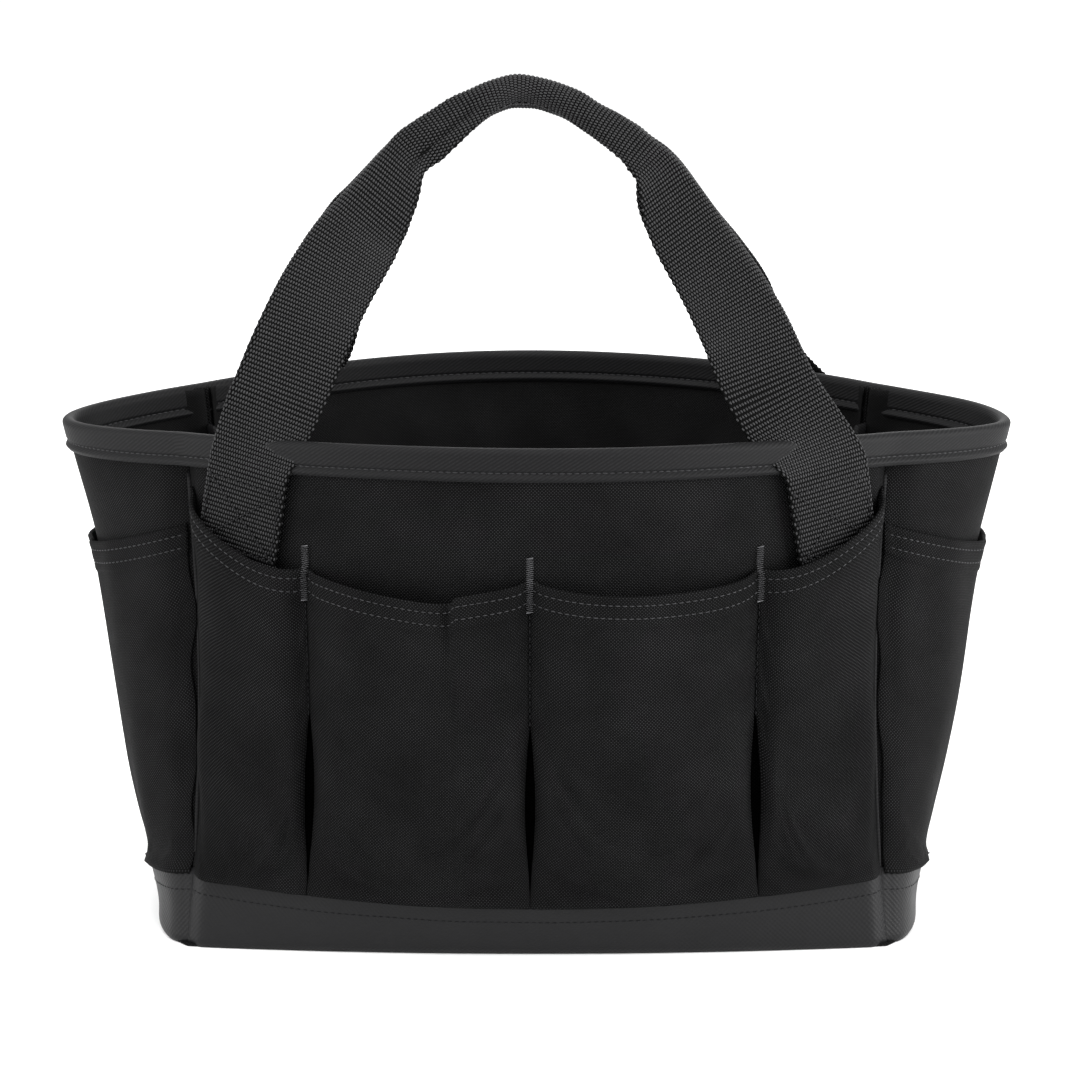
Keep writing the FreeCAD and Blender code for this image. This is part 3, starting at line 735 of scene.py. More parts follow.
# %% Bottom sheets
def between_walls(z, inset, columns=90, rows=50):
    """A level grid that fills the outline at the foot: the four walls' outlines blended across it."""
    u, v = np.linspace(-1, 1, columns), np.linspace(-1, 1, rows)
    side = {wall: on_wall(wall, s, z, -inset)[..., :2] for wall, s in
            (("front", u), ("right", v), ("back", -u), ("left", -v))}
    a, b = (u[:, None, None] + 1) / 2, (v[None, :, None] + 1) / 2
    sides = (1 - b) * side["front"][:, None] + b * side["back"][:, None]
    ends = (1 - a) * side["left"][None] + a * side["right"][None]
    corners = ((1 - a) * (1 - b) * side["front"][0] + a * (1 - b) * side["front"][-1]
               + (1 - a) * b * side["back"][0] + a * b * side["back"][-1])
    level = sides + ends - corners
    return np.concatenate([level, np.full(level.shape[:2] + (1,), z)], axis=-1)


bottom = between_walls(0.2 * MM, 1.0 * MM)
sewn(cloth("bottom_cloth", bottom[::-1], 1.0 * MM, DUCK), "body_cloth", "root", "bottom_panel")
floor_grid = between_walls(5.8 * MM, 4.0 * MM)
ripple = waves(floor_grid[..., 0], floor_grid[..., 1], 71, 60 * MM, 160 * MM)
floor_grid[..., 2] += 0.5 * MM * (ripple + 1)
sewn(cloth("bottom_lining_cloth", floor_grid, 1.0 * MM, LINING), "lining_cloth", "root",
              "bottom_lining")
print("band and bottom done")

# %% [markdown]
# ## Pockets
# A pocket is sewn down at its two sides and its foot and hangs free at the hem. It starts as a gentle
# bellied sheet. Then Blender's cloth solver lets the spare cloth sag and wrinkle under its own weight, with
# the sewn edges pinned, which gives each pocket its own creases.

# %% Pocket outlines
DIVIDERS_X = (-97 * MM, -3 * MM, 93 * MM)
HEM, HEM_SAG, CORNER_HEM, CORNER_CURVE = 167 * MM, 4.5 * MM, 194 * MM, 1.8
END_HEM, END_HEM_DIP = 179 * MM, 17 * MM
WEDGE_WIDTH, WEDGE_TOP = 4.0 * MM, 108 * MM   # below the dividers two pockets part in a long dark wedge


def wedge_share(z):
    """0 above and below the wedge, 1 where it is widest, a little over half-way up."""
    share = np.clip((z - BAND_MIDDLE) / (WEDGE_TOP - BAND_MIDDLE), 0, 1)
    return np.sin(np.pi * share ** 1.15)


def wedge(z):
    """Half the gap between two neighbouring pockets at height z."""
    return 0.15 * MM + WEDGE_WIDTH / 2 * wedge_share(z) ** 1.2


def seam_gap(wall, z):
    """How far a pocket stops short of the corner seam: the seam is puckered, so the gap is uneven."""
    return 1.4 * MM + 1.1 * MM * np.clip(waves(z, 0 * z, 211 + WALLS.index(wall), 35 * MM, 90 * MM), -1, 1)


PLEAT = 0.67               # where the front left middle pocket has a pleat, as a share of its width


def pleated_hem(u):
    """The hem sinks towards the pleat, steps up there and runs straight to the divider."""
    sunk = np.sin(np.pi / 2 * np.clip(u / PLEAT, 0, 1)) ** 1.5
    straight = 0.62 * (1 - u) / (1 - PLEAT)
    return 7.8 * MM * between(sunk, straight, smooth(PLEAT - 0.012, PLEAT + 0.012, u))


def front_pocket(wall, index, columns, rows):
    """A front or back pocket, counted 0 to 3 from the object's left to its right."""
    edges = (-SEAM_X, *DIVIDERS_X, SEAM_X)
    v = shares(rows)[None, :]
    u = shares(columns)[:, None]
    rough_z = BAND_MIDDLE + (HEM - BAND_MIDDLE) * v
    low = edges[index] + (seam_gap(wall, rough_z) if index == 0 else wedge(rough_z))
    high = edges[index + 1] - (seam_gap(wall, -rough_z) if index == 3 else wedge(rough_z))
    x = low + (high - low) * u
    if wall == "front" and index == 1:
        top = HEM - pleated_hem(u)
    elif index in (1, 2):
        top = HEM - HEM_SAG * (1 - (2 * u - 1) ** 2)
    else:
        top = HEM + (CORNER_HEM - HEM) * (1 - u if index == 0 else u) ** CORNER_CURVE
    sign = 1 if wall == "front" else -1
    return u, v, sign * x / SEAM_X, top


def pocket_grid(wall, index, columns=64, rows=84):
    if wall in ("front", "back"):
        u, v, s, top = front_pocket(wall, index, columns, rows)
        depth = 8.8 * MM if index in (1, 2) else 9.4 * MM
    else:
        u, v = shares(columns)[:, None], shares(rows)[None, :]
        s = (2 * u - 1) * (1 - seam_gap(wall, END_HEM * v) * 0.7 / RIM_SEAM_Y)
        top = END_HEM - END_HEM_DIP * (1 - s * s)
        depth = 2.4 * MM
    foot = band_top(wall, s) - 1.5 * MM
    z = foot + (top - foot) * v
    sharp = 5 + (14 * wedge_share(z) if wall in ("front", "back") else 0)
    belly = 1 - np.abs(2 * u - 1) ** sharp
    fullness = 0.22 + 0.53 * smooth(0, 0.32, v) + 0.25 * smooth(0.45, 1, v)
    rolls = waves(s * SEAM_X * 1.6, z * 0.5, 90 + 7 * index + 31 * WALLS.index(wall), 40 * MM, 110 * MM)
    out = 1.6 * MM + depth * belly * fullness + 0.8 * MM * rolls * belly * smooth(0, 0.15, v)
    if wall == "front" and index == 1:
        down = smooth(0.3, 1, v)
        step_out = 2.2 * MM * smooth(PLEAT - 0.02, PLEAT + 0.03, u) * (1 - u) / (1 - PLEAT) * (u > PLEAT - 0.03)
        tuck_in = 2.0 * MM * hump(u, PLEAT - 0.02, 0.018) * smooth(0.72, 1, v)
        out += down * (step_out - tuck_in)
    grid = on_wall(wall, s, z, out + 1.6 * MM * smooth(0.06, 0, v), 1.0)
    return grid if wall in ("front", "right", "left") else grid[::-1]


PLACES = ("left_outer", "left_middle", "right_middle", "right_outer")
pocket_grids = {f"{wall}_{place}_pocket": pocket_grid(wall, i)
                for wall in ("front", "back") for i, place in enumerate(PLACES)}
pocket_grids.update({f"{wall}_end_pocket": pocket_grid(wall, 0) for wall in ("left", "right")})
print("pockets", len(pocket_grids))


# %% Cloth simulation
SETTLE_FRAMES = 22
SLACK = -0.025             # a little more cloth than the outline needs
STIFFNESS = 0.5            # coated duck holds its shape, so this much of the solver's sag is taken
MOST_MOVE = 2.0 * MM


def settle(grids):
    """Every pocket in one simulation, pinned where it is sewn. Returns the grids after they have sagged."""
    points, faces, pins = [], [], []
    for grid in grids.values():
        columns, rows = grid.shape[:2]
        first = len(points)
        points += grid.reshape(-1, 3).tolist()
        at = first + np.arange(columns * rows).reshape(columns, rows)
        quads = np.stack([at[:-1, :-1], at[1:, :-1], at[1:, 1:], at[:-1, 1:]], -1).reshape(-1, 4)
        faces += quads.tolist()
        pins += [*at[0].tolist(), *at[-1].tolist(), *at[:, 0].tolist()]
    mesh = bpy.data.meshes.new("settling")
    mesh.from_pydata(points, [], faces)
    thing = bpy.data.objects.new("settling", mesh)
    scene.collection.objects.link(thing)
    sewn_edge = thing.vertex_groups.new(name="sewn")
    sewn_edge.add(sorted(set(pins)), 1.0, "REPLACE")
    modifier = thing.modifiers.new("cloth", "CLOTH")
    modifier.settings.vertex_group_mass = "sewn"
    modifier.settings.quality = 6
    modifier.settings.mass = 0.3
    modifier.settings.tension_stiffness = 25
    modifier.settings.compression_stiffness = 25
    modifier.settings.bending_stiffness = 1.5
    modifier.settings.shrink_min = SLACK
    modifier.collision_settings.use_collision = False
    modifier.point_cache.frame_end = SETTLE_FRAMES
    for step in range(1, SETTLE_FRAMES + 1):
        scene.frame_set(step)
    result = thing.evaluated_get(bpy.context.evaluated_depsgraph_get()).to_mesh()
    moved = np.array([vertex.co[:] for vertex in result.vertices])
    bpy.data.objects.remove(thing)
    scene.frame_set(1)
    settled, first = {}, 0
    for name, grid in grids.items():
        size = grid.shape[0] * grid.shape[1]
        shift = moved[first:first + size].reshape(grid.shape) - grid
        far = np.linalg.norm(shift, axis=-1, keepdims=True)
        shift *= np.minimum(STIFFNESS, MOST_MOVE / np.maximum(far, 1e-9))
        outward = face_normals(grid)
        inward = np.minimum((shift * outward).sum(-1, keepdims=True) + 1.2 * MM, 0)
        settled[name] = grid + shift - outward * inward
        first += size
    return settled


pocket_grids = settle(pocket_grids)
print("settled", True)

# %% [markdown]
# A hem is the cloth's edge turned in twice, so it is thicker there, and two rows of stitches pull it in.

# %% Sew the pockets
HEM_TURN = 12 * MM
HEM_STITCHES = (3.0 * MM, 8.6 * MM)
POCKET_THICKNESS = 1.0 * MM


def below_top(grid):
    """How far each point lies below the hem, along the cloth."""
    steps = np.linalg.norm(np.diff(grid, axis=1), axis=-1)
    down = np.cumsum(steps[:, ::-1], axis=1)[:, ::-1]
    return np.concatenate([down, np.zeros((grid.shape[0], 1))], axis=1)


def finer_at_hem(grid, count=14):
    """More rows in the hem, so that it can be shaped: the last stretch is divided again."""
    down = below_top(grid).mean(axis=0)
    stops = np.concatenate([down[down > HEM_TURN * 1.25], np.linspace(HEM_TURN * 1.2, 0, count * 2)])
    place = np.interp(-stops, -down, np.arange(len(down)))
    low = np.clip(np.floor(place).astype(int), 0, len(down) - 2)
    share = (place - low)[None, :, None]
    return grid[:, low] * (1 - share) + grid[:, low + 1] * share


def hem(grid):
    down = below_top(grid)
    raised = 0.55 * MM * smooth(HEM_TURN + 0.9 * MM, HEM_TURN - 0.3 * MM, down)
    pulled = sum(0.3 * MM * hump(down, row, 0.7 * MM) for row in HEM_STITCHES)
    return grid + face_normals(grid) * (raised - pulled)[..., None], POCKET_THICKNESS + raised * 1.6


sewn_pockets = {}
for name, grid in pocket_grids.items():
    shaped, thickness = hem(finer_at_hem(grid))
    sewn_pockets[name] = shaped
    pocket = sewn(cloth(name + "_cloth", shaped, thickness, DUCK), "body_cloth", "root", name)

# %% [markdown]
# Below each divider the pocket cloth is folded in behind itself. Those folds are never lit, and only their
# dark cloth shows between the two pockets, so one narrow strip stands for them, in near-black painted shade.

# %% Pleats behind the dividers, in painted shade
# A darker copy of the duck with no reflection or sheen: painted shade for the unlit folds.
PLEAT_PAINTED_SHADE = woven("black_duck_painted_shade_in_folds", "#000000", "#060606", 0.71 * MM, 0.2 * MM, 0.9, 0.0, 0.0)
for wall, sign in (("front", 1), ("back", -1)):
    for place, x in zip(("left", "middle", "right"), DIVIDERS_X):
        z = np.linspace(BAND_MIDDLE + 1 * MM, WEDGE_TOP + 2 * MM, 30)[None, :]
        reach = (2.4 * MM + WEDGE_WIDTH * 0.7 * wedge_share(z)) * np.linspace(-1, 1, 7)[:, None]
        strip = on_wall(wall, sign * x / SEAM_X + reach / SEAM_X, z, 0.9 * MM)
        pleat = sewn(cloth(f"{wall}_{place}_pleat_painted_shade", strip, 0.5 * MM, PLEAT_PAINTED_SHADE), "body_cloth", "root")

# %% [markdown]
# ## Handles
# Each handle is one length of flat webbing. Both ends are sewn down under the rim, the legs lean in over
# the mouth, and the middle is wrapped round a foam core to make the grip. The strap is a row of
# cross-sections along a path. The path is the strap's upper edge, because that is the line which stays
# smooth while the webbing folds: the rest of each section hangs from it.

# %% Where the tail is sewn
WEBBING_WIDTH, WEBBING_THICKNESS = 40 * MM, 1.5 * MM
LEG_X = SEAM_X - 33 * MM
TAIL_LENGTH, TAIL_TILT, TAIL_CLEARANCE = 48 * MM, 10, 2.8 * MM
LEG_UP = 8 * MM
GRIP_TOP = np.array([0, -11 * MM, 356 * MM])


def unit(vector):
    return vector / np.linalg.norm(vector, axis=-1, keepdims=True)


def tail_frame():
    """The right-hand tail: a point on the wall at the rim, and its across, up and outward directions."""
    s = LEG_X / SEAM_X
    rim = rim_height("front", s)
    top, foot = on_wall("front", s, rim, 0.0), on_wall("front", s, rim - TAIL_LENGTH, 0.0)
    level = unit(on_wall("front", s + 0.02, rim, 0.0) - on_wall("front", s - 0.02, rim, 0.0))
    level[2] = 0
    up = unit(top - foot)
    tilt = math.radians(TAIL_TILT)
    across = level * math.cos(tilt) + up * math.sin(tilt)
    normal = unit(np.cross(across, up * math.cos(tilt) - level * math.sin(tilt)))
    return top, across, np.cross(normal, across), normal


TAIL_TOP, TAIL_ACROSS, TAIL_RISE, TAIL_NORMAL = tail_frame()


def on_tail(a, b, out):
    return TAIL_TOP + TAIL_ACROSS * a + TAIL_RISE * b + TAIL_NORMAL * out


LEG_FOOT = np.array([0, TAIL_TOP[1] - TAIL_CLEARANCE, TAIL_TOP[2] + LEG_UP])
LEG_RISE = unit(GRIP_TOP - LEG_FOOT)
LEG_NORMAL = np.array([0, -LEG_RISE[2], LEG_RISE[1]])
print("the handle leans in the plane of", np.round(LEG_RISE, 2))

# %% The strap's path
ROW = 1.9 * MM             # one row of weave along the strap
STRAP_HALF = 19.1 * MM     # half the width of its face, inside the rounded edges
# The strap's upper edge from the left leg over the top to the right one, in millimetres: x, z, and how
# much of the webbing's width is in front. The rest is wrapped over the top and hangs down behind.
UPPER_EDGE = ((-127, 237, 40), (-123.3, 244.5, 40), (-117.4, 258.3, 40), (-111.5, 271.5, 40),
              (-104.8, 285.6, 39.5), (-92.9, 303.9, 37.5), (-83.8, 313.1, 34), (-74.6, 322.4, 29),
              (-66.2, 331.6, 22), (-59, 338, 21.5), (-47.6, 345.6, 20), (-29.7, 354.7, 15),
              (-18, 359.2, 12.2), (-8, 360.3, 11.5), (2, 359.4, 11.5), (15.8, 355, 12),
              (33.3, 345.6, 14.3), (46, 337.6, 15.6), (54.4, 331.6, 18), (60, 326.6, 21),
              (67.6, 317.7, 28), (75.3, 308.5, 31.5), (82.7, 299.3, 33), (90, 290.2, 34.6),
              (96, 281, 35.5), (101.6, 271.9, 37), (106.4, 262.8, 38.5), (112, 250, 40),
              (115.8, 243, 40), (121.5, 234.6, 40))
EDGE_INSET = 0.7 * MM      # the nubs and the rounded edge stand out this far


def control_rows():
    """(upper edge, across, outward, width in front) from the left sewn foot over the top to the right."""
    edge = np.array([[x * MM, 0, z * MM] for x, z, seen in UPPER_EDGE])
    edge[:, 1] = LEG_FOOT[1] + (edge[:, 2] - LEG_FOOT[2]) * LEG_RISE[1] / LEG_RISE[2]
    across = unit(np.cross(LEG_NORMAL, unit(np.gradient(edge, axis=0))))
    free = [np.concatenate([e - EDGE_INSET * a, a, LEG_NORMAL, [seen * MM]])
            for e, a, (x, z, seen) in zip(edge, across, UPPER_EDGE)]
    foot = [np.concatenate([on_tail(STRAP_HALF, b * MM, TAIL_CLEARANCE + 1 * MM), TAIL_ACROSS, TAIL_NORMAL,
                            [40 * MM]]) for b in (-48, -40, -32, -24, -16, -8)]
    mirror = np.array([-1, 1, 1] * 3 + [1])
    return np.array([row * mirror for row in foot] + free + foot[::-1])


def smooth_rows(rows, rounds=3):
    """Corner cutting: each round replaces a corner by two points a quarter of the way along its sides."""
    for _ in range(rounds):
        first, last = rows[:1], rows[-1:]
        cut = np.stack([rows[:-1] * 0.75 + rows[1:] * 0.25, rows[:-1] * 0.25 + rows[1:] * 0.75], 1)
        rows = np.concatenate([first, cut.reshape(-1, rows.shape[1]), last])
    return rows


def strap_rows():
    """Evenly spaced rows over the whole handle."""
    rows = smooth_rows(control_rows())
    along = np.concatenate([[0], np.cumsum(np.linalg.norm(np.diff(rows[:, :3], axis=0), axis=1))])
    stops = np.linspace(0, along[-1], int(along[-1] / ROW))
    return stops, np.stack([np.interp(stops, along, column) for column in rows.T], axis=1)


STOPS, ROWS = strap_rows()
print("webbing in one handle is", round(float(STOPS[-1]), 3), "m long")

# %% [markdown]
# The two handles don't stand quite alike: both lean a little to the left, and the rear one hangs lower and
# its legs bow in. Towards the shoulders the outer side of the webbing curls back over the top, and in the
# grip it is folded right round the foam core, with its two edges together underneath. So there are two
# cross-sections, an open one and a rolled one, and the strap passes from one to the other.

# %% Fold the webbing
ACROSS_COUNT = 65
ROLLED_RADIUS = 2 * STRAP_HALF / math.tau      # the webbing's width just meets round this
GRIP_MIDDLE = -4 * MM


def evenly_across(sideways, forward):
    """Points at even distances round each section, because webbing folds but doesn't stretch."""
    steps = np.hypot(np.diff(sideways, axis=1), np.diff(forward, axis=1))
    along = np.concatenate([np.zeros((len(steps), 1)), np.cumsum(steps, axis=1)], axis=1)
    stops = [np.linspace(0, row[-1], ACROSS_COUNT) for row in along]
    picked = [[np.interp(stop, row, line) for stop, row, line in zip(stops, along, lines)]
              for lines in (sideways, forward)]
    # The selvedge goes in and out with the weft.
    scallop = 0.25 * MM * np.cos(np.pi * np.arange(len(steps)))
    sideways, forward = np.array(picked)
    for end, next_in in ((0, 1), (-1, -2)):
        step = np.hypot(sideways[:, end] - sideways[:, next_in], forward[:, end] - forward[:, next_in])
        for line in (sideways, forward):
            line[:, end] += (line[:, end] - line[:, next_in]) / step * scallop
    return sideways, forward


def open_section(u, seen, rolled):
    """Flat in front, round a bend at the top, and down behind."""
    bend = 0.8 * MM + 4.2 * MM * smooth(40 * MM, 34 * MM, seen)
    past_top = u - np.minimum(seen - STRAP_HALF + 0.57 * bend, STRAP_HALF) * (1 - rolled)
    turn = np.clip(np.abs(past_top) / bend, 0, np.pi / 2)
    sideways = -bend * (1 - np.cos(turn)) - np.maximum(np.abs(past_top) - bend * np.pi / 2, 0)
    return sideways, -np.sign(past_top) * bend * np.sin(turn) - (bend - 0.75 * MM)


def rolled_section(u, seen):
    """An oval whose girth is the webbing's width."""
    half_depth = seen / 2
    half_thick = np.sqrt(np.clip(2 * ROLLED_RADIUS ** 2 - half_depth ** 2, (2.4 * MM) ** 2, (6.6 * MM) ** 2))
    angle = 0.97 * np.pi * u / STRAP_HALF
    return half_depth * (np.cos(angle) - 1), -half_thick * np.sin(angle)


def dent(x, height, u, sideways):
    """A dent runs up from the left shoulder, where the folded webbing is pressed in."""
    middle = between(-15.5 * MM, -8 * MM, (x + 62 * MM) / (40 * MM))
    along = smooth(-70 * MM, -58 * MM, x) * smooth(-16 * MM, -30 * MM, x)
    return 1.5 * MM * hump(sideways, middle, 1.8 * MM) * along * (u < 0) * (height[:, None] > 300 * MM)


def strap_surface(bow_in, sink):
    """The strap's outer face, and the middle of the space inside the grip."""
    edge, across = ROWS[:, 0:3].copy(), unit(ROWS[:, 3:6])
    outward, seen = unit(ROWS[:, 6:9]), ROWS[:, 9:10]
    height, x = edge[:, 2].copy(), edge[:, 0:1].copy()
    off_middle = np.where(height[:, None] > LEG_FOOT[2] + 60 * MM, np.abs(x - GRIP_MIDDLE), 1.0)
    rolled = smooth(64 * MM, 47 * MM, off_middle)
    bow = bow_in * (smooth(203 * MM, 228 * MM, height) - 0.48 * smooth(232 * MM, 262 * MM, height)
                    - 0.52 * smooth(290 * MM, 335 * MM, height))
    edge[:, 0] -= bow * np.sign(edge[:, 0])
    edge[:, 1] -= 0.55 * bow          # along the curved wall
    edge[:, 2] -= sink * smooth(250 * MM, 345 * MM, height)
    u = np.linspace(-STRAP_HALF, STRAP_HALF, 6 * ACROSS_COUNT)[None, :]
    open_across, open_out = open_section(u, seen, rolled)
    rolled_across, rolled_out = rolled_section(u, seen)
    sideways = open_across * (1 - rolled) + rolled_across * rolled
    forward = open_out * (1 - rolled) + rolled_out * rolled
    forward = forward - dent(x, height, u, sideways)
    sideways, forward = evenly_across(sideways, forward)
    grid = edge[:, None] + sideways[..., None] * across[:, None] + forward[..., None] * outward[:, None]
    u = np.linspace(-STRAP_HALF, STRAP_HALF, ACROSS_COUNT)[None, :]
    drape = 0.7 * MM * waves(STOPS[:, None], u * 1.0, 401, 60 * MM, 150 * MM) * (1 - rolled)
    pinched = 0.3 * MM * waves(STOPS[:, None], u * 1.0, 402, 14 * MM, 40 * MM) * rolled
    return grid + face_normals(grid) * (drape + pinched)[..., None], edge - across * seen / 2


front_strap, front_inside = strap_surface(0.0, 0.0)
back_strap, back_inside = strap_surface(8.5 * MM, 4.5 * MM)
strap_faces = {"front": front_strap, "back": (back_strap * (1, -1, 1))[::-1]}
strap_insides = {"front": front_inside, "back": back_inside * (1, -1, 1)}


def cross_the_fold(piece):
    """Bakes the piece's placement into its points; it is attached to neither the body nor the handle."""
    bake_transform(piece)


STRAP_PARTS = ("left_tail", "right_tail", "left_leg", "right_leg", "grip")
for side, grid in strap_faces.items():
    strap = cloth(side + "_handle_webbing", grid[:, ::4], WEBBING_THICKNESS, WEBBING_GROUND_PAINTED_SHADE)
    cross_the_fold(strap)
    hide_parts(*(f"{side}_handle_{part}" for part in STRAP_PARTS))
    print(strap.name, len(strap.data.polygons))

# %% [markdown]
# ## Geometry Nodes for what repeats
# Webbing shows rows of small oval nubs, where each warp yarn passes over a weft. There are some 18,000 of
# them on one strap, and thousands of stitches on the bag: a job for Geometry Nodes, which put a copy of one
# small shape on every point. The tree's inputs are set by their socket identifiers, the result is turned
# into a plain mesh, and the modifier goes.

# %% Tree helpers
def geometry_tree(name, sizes):
    """A tree with a geometry input, a named number for each size, and a material."""
    tree = bpy.data.node_groups.new(name, "GeometryNodeTree")
    tree.interface.new_socket("Geometry", in_out="INPUT", socket_type="NodeSocketGeometry")
    for label in sizes:
        tree.interface.new_socket(label, in_out="INPUT", socket_type="NodeSocketFloat")
    tree.interface.new_socket("Material", in_out="INPUT", socket_type="NodeSocketMaterial")
    tree.interface.new_socket("Geometry", in_out="OUTPUT", socket_type="NodeSocketGeometry")
    return tree, add(tree, "NodeGroupInput"), add(tree, "NodeGroupOutput")


def close_tree(tree, inputs, output, shape):
    """Every tree ends the same way: real geometry, smooth shading and the material."""
    real = add(tree, "GeometryNodeRealizeInstances", links={0: shape})
    smoothed = add(tree, "GeometryNodeSetShadeSmooth", links={0: real.outputs[0]})
    finished = add(tree, "GeometryNodeSetMaterial", links={"Geometry": smoothed.outputs[0],
                                                          "Material": inputs.outputs["Material"]})
    tree.links.new(finished.outputs[0], output.inputs[0])
    return tree


def grow(tree, name, source_mesh, **values):
    """Runs a tree on a mesh and returns the result as a plain mesh object."""
    seed = bpy.data.objects.new(name + "_source", source_mesh)
    scene.collection.objects.link(seed)
    modifier = seed.modifiers.new("grow", "NODES")
    modifier.node_group = tree
    for socket in tree.interface.items_tree:
        if socket.in_out == "INPUT" and socket.name in values:
            modifier[socket.identifier] = values[socket.name]
    seed.update_tag()
    depsgraph = bpy.context.evaluated_depsgraph_get()
    made = bpy.data.meshes.new_from_object(seed.evaluated_get(depsgraph))
    bpy.data.objects.remove(seed)
    piece = bpy.data.objects.new(name, made)
    scene.collection.objects.link(piece)
    return piece


def polylines(name, lines):
    """A mesh of loose edges, one chain for each line of points."""
    mesh = bpy.data.meshes.new(name)
    points, edges = [], []
    for line in lines:
        edges += [(len(points) + i, len(points) + i + 1) for i in range(len(line) - 1)]
        points += [tuple(map(float, point)) for point in line]
    mesh.from_pydata(points, edges, [])
    return mesh


# %% Nub tree
def nub_tree():
    tree, inputs, output = geometry_tree("webbing_nubs", ("Length", "Width", "Height"))
    ball = add(tree, "GeometryNodeMeshIcoSphere", values={"Radius": 0.5, "Subdivisions": 1})
    size = add(tree, "ShaderNodeCombineXYZ", links={0: inputs.outputs["Length"], 1: inputs.outputs["Width"],
                                                    2: inputs.outputs["Height"]})
    out = add(tree, "GeometryNodeInputNamedAttribute", {"data_type": "FLOAT_VECTOR"}, {"Name": "out"})
    along_strap = add(tree, "GeometryNodeInputNamedAttribute", {"data_type": "FLOAT_VECTOR"},
                      {"Name": "along"})
    stand = add(tree, "FunctionNodeAlignRotationToVector", {"axis": "Z"}, links={"Vector": out.outputs[0]})
    turned = add(tree, "FunctionNodeAlignRotationToVector", {"axis": "X", "pivot_axis": "Z"},
                 links={"Rotation": stand.outputs[0], "Vector": along_strap.outputs[0]})
    copies = add(tree, "GeometryNodeInstanceOnPoints",
                 links={"Points": inputs.outputs["Geometry"], "Instance": ball.outputs["Mesh"],
                        "Rotation": turned.outputs[0], "Scale": size.outputs[0]})
    return close_tree(tree, inputs, output, copies.outputs[0])


NUBS = nub_tree()


def nub_points(name, surface, outward):
    """Alternate points of alternate rows, as bricks are laid, with their directions."""
    mesh = bpy.data.meshes.new(name)
    rows, columns = surface.shape[:2]
    brick = (np.arange(rows)[:, None] + np.arange(columns)[None, :]) % 2 == 0
    ahead = unit(np.gradient(surface, axis=0))
    mesh.from_pydata(surface[brick].tolist(), [], [])
    for label, vectors in (("out", outward), ("along", ahead)):
        values = mesh.attributes.new(label, "FLOAT_VECTOR", "POINT")
        values.data.foreach_set("vector", vectors[brick].astype(np.float32).ravel())
    return mesh


# %% Grow the nubs
NUB_LENGTH, NUB_WIDTH, NUB_HEIGHT = 1.75 * MM, 1.02 * MM, 0.8 * MM
for side, grid in strap_faces.items():
    outward = face_normals(grid)
    for face, surface, direction in (("outer", grid, outward),
                                     ("inner", grid - outward * WEBBING_THICKNESS, -outward)):
        source = nub_points(f"{side}_{face}_points", surface, direction)
        nubs = grow(NUBS, f"{side}_webbing_{face}_weave", source,
                    Length=NUB_LENGTH, Width=NUB_WIDTH, Height=NUB_HEIGHT, Material=WEBBING_YARN)
        cross_the_fold(nubs)
        print(nubs.name, len(nubs.data.polygons))

# %% [markdown]
# ## Stitches
# A lockstitch shows as a row of short, slightly sunk dashes. One tree resamples any line at the stitch
# pitch and lays a small rounded dash along it at each point.

# %% Stitch tree
def stitch_tree():
    tree, inputs, output = geometry_tree("lockstitch", ("Pitch", "Stitch", "Thread"))
    line = add(tree, "GeometryNodeMeshToCurve", links={0: inputs.outputs["Geometry"]})
    spaced = add(tree, "GeometryNodeResampleCurve", {"mode": "LENGTH"},
                 links={"Curve": line.outputs[0], "Length": inputs.outputs["Pitch"]})
    dash = add(tree, "GeometryNodeMeshUVSphere", values={"Segments": 6, "Rings": 4, "Radius": 0.5})
    size = add(tree, "ShaderNodeCombineXYZ", links={0: inputs.outputs["Thread"], 1: inputs.outputs["Thread"],
                                                    2: inputs.outputs["Stitch"]})
    tangent = add(tree, "GeometryNodeInputTangent")
    turned = add(tree, "FunctionNodeAlignRotationToVector", {"axis": "Z"},
                 links={"Vector": tangent.outputs[0]})
    copies = add(tree, "GeometryNodeInstanceOnPoints",
                 links={"Points": spaced.outputs[0], "Instance": dash.outputs["Mesh"],
                        "Rotation": turned.outputs[0], "Scale": size.outputs[0]})
    return close_tree(tree, inputs, output, copies.outputs[0])


LOCKSTITCH = stitch_tree()
PITCH, STITCH, THREAD = 2.9 * MM, 2.1 * MM, 0.54 * MM


def stitched(name, lines, material, thread=THREAD):
    piece = grow(LOCKSTITCH, name, polylines(name + "_lines", lines),
                 Pitch=PITCH, Stitch=PITCH * STITCH / PITCH, Thread=thread, Material=material)
    return sewn(piece, "thread", "root")


def along_sheet(grid, drop, lift=0.05 * MM, from_top=True, ends=0):
    """A line across a sheet at a constant distance from its top edge."""
    down = below_top(grid)
    if not from_top:
        down = down.max(axis=1, keepdims=True) - down
    line = []
    for column in range(ends, grid.shape[0] - ends):
        order = np.argsort(down[column])
        point = [np.interp(drop, down[column][order], grid[column, order, k]) for k in range(3)]
        line.append(point)
    line = np.array(line)
    middle = face_normals(grid)[:, -4] if from_top else face_normals(grid)[:, 4]
    return line + middle[ends:grid.shape[0] - ends] * lift


